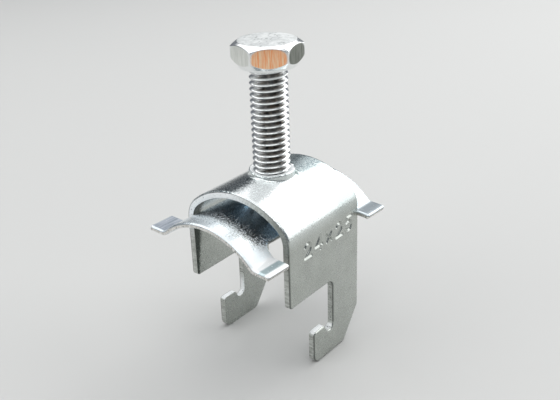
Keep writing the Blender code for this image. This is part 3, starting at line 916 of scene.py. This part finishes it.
def make_screw():
    """The screw as rings of points, which share their angles, from the head's top to the riveted end.

    The angles crowd at the hexagon's rounded edges. The rings follow the head's eased profile, then the
    thread, which fades to plain under the head, and then the spigot's eased profile.
    """
    flat = np.linspace(*HEX_FLAT_ANGLES, HEX_FLAT_ROWS)
    sector = np.radians(np.concatenate((HEX_EDGE_ANGLES, flat)))
    starts = HEAD_AZIMUTH + math.pi / 6 + math.pi / 3 * np.arange(6)
    angle = (starts[:, None] + sector).ravel()
    flats = hexagon(angle)
    ones = np.ones_like(angle)
    cone_foot = HEAD_UNDERSIDE + WASHER_FACE_HEIGHT
    head = eased_profile(
        (
            *((radius * ones, HEAD_TOP, 0) for radius in HEAD_TOP_RINGS),
            (HEAD_TOP_RADIUS * ones, HEAD_TOP, HEAD_TOP_EASE),
            (flats, HEAD_TOP - (flats - HEAD_TOP_RADIUS) * math.tan(HEAD_TOP_SLOPE), HEX_EASE),
            (flats, cone_foot + (flats - WASHER_FACE_RADIUS) * math.tan(HEAD_LOWER_SLOPE), HEX_EASE),
            (WASHER_FACE_RADIUS * ones, cone_foot, WASHER_EASE),
            (WASHER_FACE_RADIUS * ones, HEAD_UNDERSIDE, FINE_EASE),
            (UNDERSIDE_RING * ones, HEAD_UNDERSIDE, 0),
        )
    )
    shank = []
    for height in np.arange(HEAD_UNDERSIDE - THREAD_START, SHANK_END, -THREAD_PITCH / ROWS_PER_TURN):
        radius = thread_radius(height, angle)
        fade = min(1.0, max(0.0, (HEAD_UNDERSIDE - height) / THREAD_FADE))
        radius = THREAD_RADIUS * (1 - fade) + radius * fade
        chamfer = THREAD_RADIUS - SHANK_END_CHAMFER + height - SHANK_END
        shank.append(np.stack((np.minimum(radius, chamfer), height * ones)))
    rivet_top = pan_underside(SPIGOT_RADIUS) - RIVET_GAP
    rivet_rim = pan_underside(RIVET_RADIUS) - RIVET_GAP
    rivet_foot = rivet_rim - RIVET_EDGE
    spigot = eased_profile(
        (
            (SHANK_END_RING * ones, SHANK_END, 0),
            (SPIGOT_RADIUS * ones, SHANK_END, FINE_EASE),
            (SPIGOT_RADIUS * ones, rivet_top, SPIGOT_EASE),
            (RIVET_RADIUS * ones, rivet_rim, RIVET_EASE),
            (RIVET_RADIUS * ones, rivet_foot, RIVET_EASE),
            ((RIVET_RADIUS - RIVET_FACE_INSET) * ones, rivet_foot - RIVET_FACE_DROP, RIVET_FACE_EASE),
            (INNER_RING * ones, rivet_foot - RIVET_FACE_DROP, 0),
        )
    )
    rows = np.array(head + shank + spigot)
    placed = np.stack((rows[:, 0] * np.cos(angle), rows[:, 0] * np.sin(angle), rows[:, 1]), axis=-1)
    shell = Shell()
    shell.add_grid(placed)
    shell.add_fan(placed[0], placed[0].mean(axis=0))
    shell.add_fan(placed[-1], placed[-1].mean(axis=0))
    points = np.concatenate(shell.points) + SCREW_AXIS
    return finished("zinc_screw", ((points, shell.faces),), sharp=SCREW_SHARP)


def linear(hexcode):
    """An sRGB hex colour as linear red, green, blue and alpha."""
    parts = np.array([int(hexcode[i : i + 2], 16) / 255 for i in (1, 3, 5)])
    parts = np.where(parts <= 0.04045, parts / 12.92, ((parts + 0.055) / 1.055) ** 2.4)
    return (*parts, 1.0)


def new_material(name):
    """A metal's material, with its node tree and its shader."""
    material = bpy.data.materials.new(name)
    material.use_nodes = True
    tree = material.node_tree
    shader = tree.nodes["Principled BSDF"]
    shader.inputs["Metallic"].default_value = 1.0
    return material, tree, shader


def add(tree, kind, inputs=None, **settings):
    """Adds a shader node with its settings, and gives each input that is named a value or a link."""
    node = tree.nodes.new("ShaderNode" + kind)
    for name, value in settings.items():
        setattr(node, name, value)
    for name, value in (inputs or {}).items():
        if isinstance(value, bpy.types.NodeSocket):
            tree.links.new(value, node.inputs[name])
        else:
            node.inputs[name].default_value = value
    return node


def ramp(tree, value, ends, low=0.0, high=1.0, eased=True):
    """A value that goes from low to high between two ends and holds beyond them."""
    inputs = {0: value, 1: ends[0], 2: ends[1], 3: low, 4: high}
    return add(tree, "MapRange", inputs, interpolation_type="SMOOTHSTEP" if eased else "LINEAR").outputs[0]


def reckon(tree, operation, *values):
    """Values joined one after another by one operation."""
    result = values[0]
    for value in values[1:]:
        result = add(tree, "Math", {0: result, 1: value}, operation=operation).outputs[0]
    return result


def absolute(tree, value):
    return add(tree, "Math", {0: value}, operation="ABSOLUTE").outputs[0]


def ragged(tree, distance, texture, size):
    """A distance made ragged by a texture times a size in millimetres."""
    return add(tree, "Math", {0: texture, 1: size, 2: distance}, operation="MULTIPLY_ADD").outputs[0]


def blend(tree, share, under, over):
    """A share of one colour over another. Each is a hex code or a node's output."""
    under, over = (linear(color) if isinstance(color, str) else color for color in (under, over))
    return add(tree, "Mix", {0: share, 6: under, 7: over}, data_type="RGBA").outputs[2]


def mix(tree, share, low, high):
    return add(tree, "Mix", {0: share, 2: low, 3: high}).outputs[0]


def noise(tree, place, scale, detail, roughness=0.5):
    """Noise with a scale in cells per millimetre."""
    inputs = {"Vector": place, "Scale": scale, "Detail": detail, "Roughness": roughness}
    return add(tree, "TexNoise", inputs).outputs[0]


def stretched(tree, place, scale, turn=0.0):
    """A place turned about the vertical and scaled by axis, which draws a texture out."""
    inputs = {"Vector": place, "Rotation": (0.0, 0.0, turn), "Scale": scale}
    return add(tree, "Mapping", inputs).outputs["Vector"]


def upward_part(tree):
    """How far the surface faces up, from -1 to 1, in the object's own frame."""
    return add(tree, "SeparateXYZ", {0: add(tree, "TexCoord").outputs["Normal"]}).outputs[2]


def millimetres(tree, center=(0.0, 0.0, 0.0)):
    """Object coordinates in millimetres, from a center."""
    place = add(tree, "TexCoord").outputs["Object"]
    inputs = {"Vector": place, "Location": [-value for value in center], "Scale": (1 / MM,) * 3}
    return add(tree, "Mapping", inputs).outputs["Vector"]


def sheet_places(tree):
    """Where a point lies: in the object, in the flat blank, and how far in from the blank's outline.

    In the blank, run goes across the tunnel from the crown, side is run without its sign, along goes
    along the tunnel, and depth is negative inside the sheet.
    """
    flat = add(tree, "Attribute", attribute_name="sheet").outputs["Vector"]
    run, along, depth = add(tree, "SeparateXYZ", {0: flat}).outputs
    inset = add(tree, "Attribute", attribute_name="inset").outputs["Fac"]
    return SimpleNamespace(
        place=millimetres(tree),
        flat=flat,
        run=run,
        side=absolute(tree, run),
        along=along,
        depth=depth,
        inset=inset,
    )


def punched_edge(tree, sheet, thickness, face, tones, painted_glint=0.0):
    """Lays the look of a punched edge over a face's colour, and gives that and where the edge is.

    The edge is streaked across the sheet's thickness in two tones and pitted where the steel tore. It
    has a painted highlight where it faces up and where the painted glint argument puts one. A painted
    dark reflection runs along the rounded edge where the die rolled the outer side over, and fades where
    that faces up.
    """
    above_burr = ramp(tree, sheet.depth, (0.02 - thickness, 0.10 - thickness))
    cut = reckon(tree, "MULTIPLY", ramp(tree, sheet.depth, CUT_TOP), above_burr)
    streaks = noise(tree, stretched(tree, sheet.flat, (1.0, 1.0, 0.2)), 2.6, 2.0)
    torn = blend(tree, ramp(tree, streaks, NOISE_MIDDLE, eased=False), *tones)
    upward = upward_part(tree)
    # Painted highlight: near white where the edge faces up or where the painted glint lies.
    bright = reckon(tree, "MAXIMUM", ramp(tree, upward, UPWARD), painted_glint)
    torn = blend(tree, bright, torn, "#FAFCFC")
    spots = noise(tree, sheet.place, 2.4, 1.5)
    torn = blend(tree, ramp(tree, spots, PITS, 0.0, 0.75), torn, "#4B504B")
    color = blend(tree, cut, face, torn)
    # Painted dark reflection along the rolled edge, fading where it faces up.
    near_outline = ramp(tree, sheet.inset, ROLL_INSET)
    near_top = ramp(tree, sheet.depth, ROLL_DEPTH)
    darkness = ramp(tree, upward, ROLL_UPWARD, ROLL_DARKNESS, 0.0, eased=False)
    dark = reckon(tree, "MULTIPLY", near_outline, near_top, darkness)
    return blend(tree, dark, color, "#474B48"), SimpleNamespace(cut=cut, spots=spots, bright=bright)


def zinc_surface(tree, shader, grain, roughness, edge, relief_strength, matte):
    """Roughness, metal and relief: the face's fine grain, and the torn edge's spots.

    Matte is the share of the face that scatters light instead of mirroring it, which the callers raise
    under their painted highlights. The edge scatters some light too, and more of it where it has its
    painted highlight.
    """
    rough_face = ramp(tree, grain, GRAIN_VALUES, roughness - 0.06, roughness + 0.08, eased=False)
    tree.links.new(mix(tree, edge.cut, rough_face, TORN_ROUGHNESS), shader.inputs["Roughness"])
    torn = mix(tree, edge.bright, TORN_METALLIC, BRIGHT_METALLIC)
    metallic = mix(tree, edge.cut, reckon(tree, "SUBTRACT", 1.0, matte), torn)
    tree.links.new(metallic, shader.inputs["Metallic"])
    height = mix(tree, edge.cut, grain, edge.spots)
    relief = {"Height": height, "Distance": GRAIN_RELIEF * MM, "Strength": relief_strength}
    tree.links.new(add(tree, "Bump", relief).outputs["Normal"], shader.inputs["Normal"])


def bracket_zinc():
    """Blue-bright zinc on folded strip steel.

    The eye gets a cool satin metal with broad, faint clouds from the bath. Its fine grain glitters over
    the arch, where folding raised it, and is smoother on the walls. The arch is painted lighter than the
    walls, as painted light from above, and less so behind the collar. The roof has a painted highlight
    in front of the collar and a speckled painted dark reflection to its left. Inside the walls a painted
    dark reflection follows the front edge as a ragged band. The arch's cut edge has a painted highlight
    on the left and is darker on the right, and the left leg's has a painted highlight towards its hook.
    """
    material, tree, shader = new_material("satin_zinc_on_folded_steel")
    sheet = sheet_places(tree)
    clouds = ramp(tree, noise(tree, sheet.place, 0.22, 3.0), NOISE_MIDDLE)
    grain = noise(tree, sheet.place, 2.4, 2.0, 0.6)
    face = blend(tree, clouds, "#B4B8B3", "#BBBFBA")
    # Painted light: the arch is painted lighter than the walls, as lit from above, and a little darker
    # behind the collar.
    on_arch = ramp(tree, sheet.side, ARCH_BORDER)
    behind_collar = ramp(tree, sheet.along, ROOF_REAR)
    face = blend(tree, on_arch, face, blend(tree, behind_collar, "#DDE3E2", "#C3CCCB"))

    plan = add(tree, "CombineXYZ", {0: sheet.run, 1: sheet.along}).outputs[0]
    from_axis = add(tree, "VectorMath", {0: plan}, operation="LENGTH").outputs["Value"]
    off_collar = ramp(tree, from_axis, (COLLAR_RADIUS + 0.1, COLLAR_RADIUS + 0.5), eased=False)
    # Painted highlight: a pale, ragged patch on the roof in front of the collar.
    border = ragged(tree, sheet.run, grain, ROOF_RAGGEDNESS)
    ahead = ramp(tree, sheet.along, ROOF_HIGHLIGHT_REAR)
    outer = ramp(tree, sheet.depth, OUTER_FACE, eased=False)
    off_left = ramp(tree, border, ROOF_HIGHLIGHT_LEFT)
    off_right = ramp(tree, border, ROOF_HIGHLIGHT_RIGHT)
    painted_highlight = reckon(tree, "MULTIPLY", off_left, off_right, ahead, outer, off_collar)
    face = blend(tree, painted_highlight, face, "#F4F8F8")

    # Painted dark reflection: a speckled, dark bluish patch on the roof left of the collar.
    slanted = reckon(tree, "ADD", border, ramp(tree, sheet.along, DARK_REFLECTION_SLANT, 0.0, DARK_REFLECTION_SHIFT))
    speckle = noise(tree, sheet.place, 4.0, 1.0)
    dots = ramp(tree, speckle, (0.42, 0.54), 0.25, 1.0, eased=False)
    off_right = ramp(tree, slanted, DARK_REFLECTION_RIGHT)
    off_left = ramp(tree, slanted, DARK_REFLECTION_LEFT)
    painted_dark_reflection = reckon(tree, "MULTIPLY", off_right, off_left, dots, on_arch, off_collar)
    face = blend(tree, painted_dark_reflection, face, blend(tree, behind_collar, "#465257", "#768488"))

    inner = ramp(tree, sheet.depth, (0.05 - SHEET, 0.01 - SHEET), eased=False)
    under_roof = reckon(tree, "MULTIPLY", inner, ramp(tree, sheet.side, UNDER_ROOF))
    face = blend(tree, under_roof, face, "#D3E0EA")

    # Painted dark reflection: a ragged dark band on the walls' inner faces along the front edge.
    behind = reckon(tree, "ADD", sheet.along, STRIP_WIDTH / 2)
    behind = ragged(tree, behind, grain, DARK_BAND_RAGGEDNESS)
    wall = (WALL_TOP, wall_run(WALL_LOWER_EDGE))
    width = ramp(tree, sheet.side, wall, *DARK_BAND_WIDTHS, eased=False)
    painted_dark_band = ramp(tree, reckon(tree, "DIVIDE", behind, width), DARK_BAND_SHARES, 0.0, 0.92)
    face = blend(tree, reckon(tree, "MULTIPLY", painted_dark_band, inner), face, "#3C433F")

    # Painted highlight on the punched edge: the arch's cut left of the crown, and the left leg's cut
    # towards its hook.
    from_polish = absolute(tree, reckon(tree, "SUBTRACT", sheet.run, ARCH_GLINT_MIDDLE))
    painted_glint = ramp(tree, from_polish, ARCH_GLINT_REACH, 1.0, 0.0)
    near_hook = ramp(tree, sheet.run, (-wall_run(LEG_GLINT[0]), -wall_run(LEG_GLINT[1])))
    off_hook = ramp(tree, sheet.along, HOOK_BORDER, eased=False)
    painted_glint = reckon(tree, "MAXIMUM", painted_glint, reckon(tree, "MULTIPLY", near_hook, off_hook))
    color, edge = punched_edge(tree, sheet, SHEET, face, ("#A6A9A3", "#CBCEC9"), painted_glint)
    # The arch's cut edge is darker towards the right shoulder.
    darker_cut = ramp(tree, sheet.run, DARK_CUT_START, 0.0, 0.6)
    darker_cut = reckon(tree, "MULTIPLY", darker_cut, ramp(tree, sheet.run, DARK_CUT_END), edge.cut)
    tree.links.new(blend(tree, darker_cut, color, "#5A5E59"), shader.inputs["Base Color"])
    raised = ramp(tree, sheet.side, GRAIN_BORDER, 0.9, 0.18, eased=False)
    zinc_surface(tree, shader, grain, 0.24, edge, raised, reckon(tree, "MULTIPLY", painted_highlight, 0.5))
    return material


def pan_zinc():
    """Blue-bright zinc on pressed steel: glossy and bluish, with glittering grain.

    The front has a painted highlight with a speckled border, and so has the front right tab, but for a
    bluer band near its root. The other tabs are duller and lavender grey inside their rims, with fine
    lines along their length, and the rear ones are darker.
    """
    material, tree, shader = new_material("blue_bright_zinc_on_pressed_steel")
    sheet = sheet_places(tree)
    clouds = ramp(tree, noise(tree, sheet.place, 0.3, 3.0), NOISE_MIDDLE)
    grain = noise(tree, sheet.place, 2.2, 2.0, 0.6)
    face = blend(tree, clouds, "#E0EAF0", "#ECF4F7")

    # The other tabs are duller and lavender grey inside their rims, with fine lines along their length.
    lines = noise(tree, stretched(tree, sheet.flat, (2.4, 0.16, 1.0)), 1.0, 2.0)
    dull_tab_tone = blend(tree, ramp(tree, lines, NOISE_MIDDLE, eased=False), "#949EAA", "#D4D9E2")
    to_rear_left = reckon(tree, "SUBTRACT", sheet.along, sheet.run)
    off_rim = ramp(tree, sheet.inset, TAB_RIM)
    on_tab = ramp(tree, sheet.side, TAB_ROOT, 0.0, 0.85)
    on_tab = reckon(tree, "MAXIMUM", on_tab, ramp(tree, sheet.run, LEFT_FLARE, 0.0, 0.85))
    on_tab = reckon(tree, "MULTIPLY", on_tab, ramp(tree, to_rear_left, DULL_TAB_REACH, eased=False), off_rim)
    face = blend(tree, on_tab, face, dull_tab_tone)
    at_rear = ramp(tree, sheet.along, REAR_TABS, 0.0, 0.9, eased=False)
    at_rear = reckon(tree, "MULTIPLY", at_rear, ramp(tree, sheet.side, FLARE_END), off_rim)
    face = blend(tree, at_rear, face, "#737C80")
    # Painted highlight on the front right tab.
    bright_tab = ramp(tree, to_rear_left, BRIGHT_TAB, eased=False)
    face = blend(tree, bright_tab, face, "#FBFDFD")

    # Painted highlight: a pale, ragged patch along the pan's front.
    border = ragged(tree, sheet.along, noise(tree, sheet.place, 4.2, 1.0), PAN_HIGHLIGHT_RAGGEDNESS)
    to_right = ramp(tree, sheet.run, (8.0, 11.0), 0.0, -4.0, eased=False)
    to_left = ramp(tree, sheet.run, (2.0, -2.0), 0.0, -2.0, eased=False)
    painted_highlight = ramp(tree, reckon(tree, "ADD", border, to_right, to_left), PAN_HIGHLIGHT_REAR)
    off_left = ramp(tree, sheet.run, PAN_HIGHLIGHT_LEFT, eased=False)
    off_tab = ramp(tree, sheet.side, PAN_HIGHLIGHT_END, eased=False)
    painted_highlight = reckon(tree, "MULTIPLY", painted_highlight, off_left, off_tab)
    face = blend(tree, painted_highlight, face, "#F2FAFD")
    band = reckon(tree, "MULTIPLY", ramp(tree, sheet.run, BAND_START), ramp(tree, sheet.run, BAND_END))
    band = reckon(tree, "MULTIPLY", band, bright_tab)
    face = blend(tree, band, face, "#C9DADD")
    color, edge = punched_edge(tree, sheet, PAN_SHEET, face, ("#CFCDC8", "#F2F0EC"))
    tree.links.new(color, shader.inputs["Base Color"])

    # Less metal, more scattered light, on the flares and under the painted highlights.
    flare = ramp(tree, sheet.side, FLARE_START, 0.0, 0.5)
    end_highlight_matte = ramp(tree, band, (0.0, 1.0), 0.85, 0.5, eased=False)
    end_highlight_matte = reckon(tree, "MULTIPLY", end_highlight_matte, bright_tab, ramp(tree, sheet.run, END_HIGHLIGHT_START))
    front_highlight_matte = reckon(tree, "MULTIPLY", painted_highlight, 0.75)
    matte = reckon(tree, "MAXIMUM", flare, end_highlight_matte, front_highlight_matte)
    zinc_surface(tree, shader, grain, 0.2, edge, 1.0, matte)
    return material


def facing(azimuth):
    """The unit vector at an azimuth from +X towards +Y."""
    return (math.cos(azimuth), math.sin(azimuth), 0.0)


def reach_towards(tree, place, azimuth):
    """How far a place lies from the axis towards an azimuth."""
    return add(tree, "VectorMath", {0: place, 1: facing(azimuth)}, operation="DOT_PRODUCT").outputs["Value"]


def rounded_part(tree, distance, half_size):
    """One side's part of a superellipse: the distance over the half size, to the power of roundness."""
    share = absolute(tree, reckon(tree, "DIVIDE", distance, half_size))
    return reckon(tree, "POWER", share, FLAT_ROUNDNESS)


def plated_screw():
    """Blue-bright zinc on a rolled and headed screw.

    The thread's crests shine and its roots are painted dark and brownish as painted shade, darkest on one
    side. The head's flats are streaked along the axis by the trimming die, each painted in its own tone as
    painted light and shade, and one of them with a coppery painted reflection inside a bright border. The
    top, as forged, is paler and duller, with faint scale and a few scuffs.
    """
    material, tree, shader = new_material("bright_zinc_on_rolled_screw")
    place = millimetres(tree, SCREW_AXIS)
    across, along, height = add(tree, "SeparateXYZ", {0: place}).outputs
    plan = add(tree, "CombineXYZ", {0: across, 1: along}).outputs[0]
    radius = add(tree, "VectorMath", {0: plan}, operation="LENGTH").outputs["Value"]
    grain = noise(tree, place, 1.8, 3.0)
    # Painted shade: the thread's roots are painted dark brown, most on one side, and not on the downward
    # flanks.
    below_crest = ramp(tree, radius, (THREAD_RADIUS - 0.05, THREAD_ROOT + 0.32))
    not_under = ramp(tree, upward_part(tree), (-0.8, -0.4))
    on_shank = ramp(tree, height, (HEAD_UNDERSIDE + 0.05, HEAD_UNDERSIDE - 0.15), eased=False)
    shade_variation = ramp(tree, noise(tree, place, 0.55, 1.0), NOISE_MIDDLE, 1.0, 0.85, eased=False)
    shade_side = ramp(tree, reach_towards(tree, plan, ROOT_SHADE_AZIMUTH), ROOT_SHADE_REACH, 0.22)
    painted_root_shade = reckon(tree, "MULTIPLY", below_crest, not_under, on_shank, shade_variation, shade_side)
    root_shade_tone = blend(tree, ramp(tree, grain, (0.42, 0.56), eased=False), "#090D0F", "#584F46")
    tone = blend(tree, painted_root_shade, "#F1F3F3", root_shade_tone)

    streaks = noise(tree, stretched(tree, place, (3.4, 3.4, 0.22)), 1.0, 3.0, 0.7)
    streaks = ramp(tree, streaks, (0.34, 0.66), eased=False)
    raised = reckon(tree, "SUBTRACT", height, HEAD_UNDERSIDE + FLAT_MIDDLE)
    surface = (ACROSS_FLATS / 2 - 0.06, ACROSS_FLATS / 2 - 0.02)
    patches = []
    # Painted light and shade: each flat painted in its own tone, the first with a coppery painted
    # reflection.
    for turn, tones in enumerate(PAINTED_FLAT_TONES):
        azimuth = HEAD_AZIMUTH + turn * math.pi / 3
        on_flat = ramp(tree, reach_towards(tree, place, azimuth), surface, eased=False)
        sideways = reach_towards(tree, place, azimuth + math.pi / 2)
        across_part = rounded_part(tree, sideways, FLAT_HALF_WIDTH)
        rim = reckon(tree, "ADD", across_part, rounded_part(tree, raised, FLAT_HALF_HEIGHT))
        patches.append(reckon(tree, "MULTIPLY", on_flat, ramp(tree, rim, (1.2, 0.8))))
        tone = blend(tree, patches[-1], tone, blend(tree, streaks, *tones))

    on_top = ramp(tree, height, (HEAD_TOP - 0.1, HEAD_TOP - 0.02), eased=False)
    scale = ramp(tree, noise(tree, place, 0.7, 4.0, 0.65), (0.38, 0.62), eased=False)
    forged = blend(tree, scale, "#C6C9C8", "#E4E6E5")
    scuffs = noise(tree, stretched(tree, place, (1.6, 0.6, 1.0), -SCUFF_AZIMUTH), 1.3, 2.0)
    forged = blend(tree, ramp(tree, scuffs, (0.63, 0.68), 0.0, 0.7, eased=False), forged, "#55595A")
    tree.links.new(blend(tree, on_top, tone, forged), shader.inputs["Base Color"])
    rough = ramp(tree, grain, GRAIN_VALUES, 0.13, 0.24, eased=False)
    tree.links.new(mix(tree, on_top, rough, FORGED_ROUGHNESS), shader.inputs["Roughness"])
    scattering = reckon(tree, "MAXIMUM", on_top, patches[0])
    tree.links.new(mix(tree, scattering, 1.0, FORGED_METALLIC), shader.inputs["Metallic"])
    relief = {"Height": grain, "Distance": THREAD_RELIEF * MM, "Strength": 1.0}
    tree.links.new(add(tree, "Bump", relief).outputs["Normal"], shader.inputs["Normal"])
    return material


def dress(piece, node, body, material):
    """Gives a piece its material, and makes it replace its node and ride its body."""
    piece.data.materials.append(material)
    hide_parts(node)
    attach(piece, body)


def placed_object(data, columns):
    """A camera or lamp whose own axes and place, in metres, are its matrix's columns."""
    obj = bpy.data.objects.new(data.name, data)
    obj.matrix_world = Matrix([[*row] for row in np.column_stack(columns)] + [[0, 0, 0, 1]])
    bpy.context.scene.collection.objects.link(obj)
    return obj


def add_camera():
    """A camera that looks against its back axis, turned about that axis by its roll."""
    level = math.cos(CAMERA_ELEVATION)
    across = level * math.sin(CAMERA_AZIMUTH)
    back = np.array((across, -level * math.cos(CAMERA_AZIMUTH), math.sin(CAMERA_ELEVATION)))
    side = np.cross(-back, (0.0, 0.0, 1.0))
    side /= np.linalg.norm(side)
    upright = np.cross(back, side)
    right = math.cos(CAMERA_ROLL) * side + math.sin(CAMERA_ROLL) * upright
    up = math.cos(CAMERA_ROLL) * upright - math.sin(CAMERA_ROLL) * side
    data = bpy.data.cameras.new("photo_camera")
    data.sensor_width = SENSOR_WIDTH
    data.lens = FOCAL_PIXELS / PICTURE_WIDTH * SENSOR_WIDTH
    data.clip_start = CLIP_START
    place = (CAMERA_PLACE + SCREW_AXIS) * MM
    bpy.context.scene.camera = placed_object(data, (right, up, back, place))


def add_lamp(name, azimuth, elevation, distance, size, radiance):
    """A rectangular soft box that faces the object, at an azimuth from +Y towards +X.

    Its local -Z axis is the way it shines, and its power is its radiance times pi times its area.
    """
    data = bpy.data.lights.new(name, "AREA")
    data.shape = "RECTANGLE"
    data.size, data.size_y = size
    data.energy = radiance * math.pi * size[0] * size[1]
    level = math.cos(elevation)
    back = np.array((level * math.sin(azimuth), level * math.cos(azimuth), math.sin(elevation)))
    side = np.array((-math.cos(azimuth), math.sin(azimuth), 0.0))
    place = distance * back + (0.0, 0.0, LAMP_AIM)
    placed_object(data, (side, np.cross(back, side), back, place))


def add_stage():
    """The pale floor, the studio's grey and its soft boxes."""
    mesh = bpy.data.meshes.new("floor")
    corners = [(across * FLOOR_HALF, along * FLOOR_HALF, 0) for across, along in FLOOR_CORNERS]
    mesh.from_pydata(corners, [], [(0, 1, 2, 3)])
    floor = bpy.data.objects.new("floor", mesh)
    bpy.context.scene.collection.objects.link(floor)
    material, _, shader = new_material("pale_matte_floor")
    shader.inputs["Metallic"].default_value = 0.0
    shader.inputs["Base Color"].default_value = linear(FLOOR_TONE)
    shader.inputs["Roughness"].default_value = FLOOR_ROUGHNESS
    mesh.materials.append(material)
    world = bpy.data.worlds.new("studio")
    world.use_nodes = True
    world.node_tree.nodes["Background"].inputs["Color"].default_value = linear(STUDIO_TONE)
    bpy.context.scene.world = world
    for name, azimuth, elevation, distance, size, radiance in SOFTBOXES:
        add_lamp(name, math.radians(azimuth), math.radians(elevation), distance, size, radiance)


def main():
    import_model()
    dress(make_bracket(), "bracket", "bracket", bracket_zinc())
    dress(make_pan(), "pressure_pan", "pan", pan_zinc())
    dress(make_screw(), "hex_screw", "screw", plated_screw())
    add_camera()
    add_stage()
    bpy.context.scene.view_settings.view_transform = "Standard"


main()
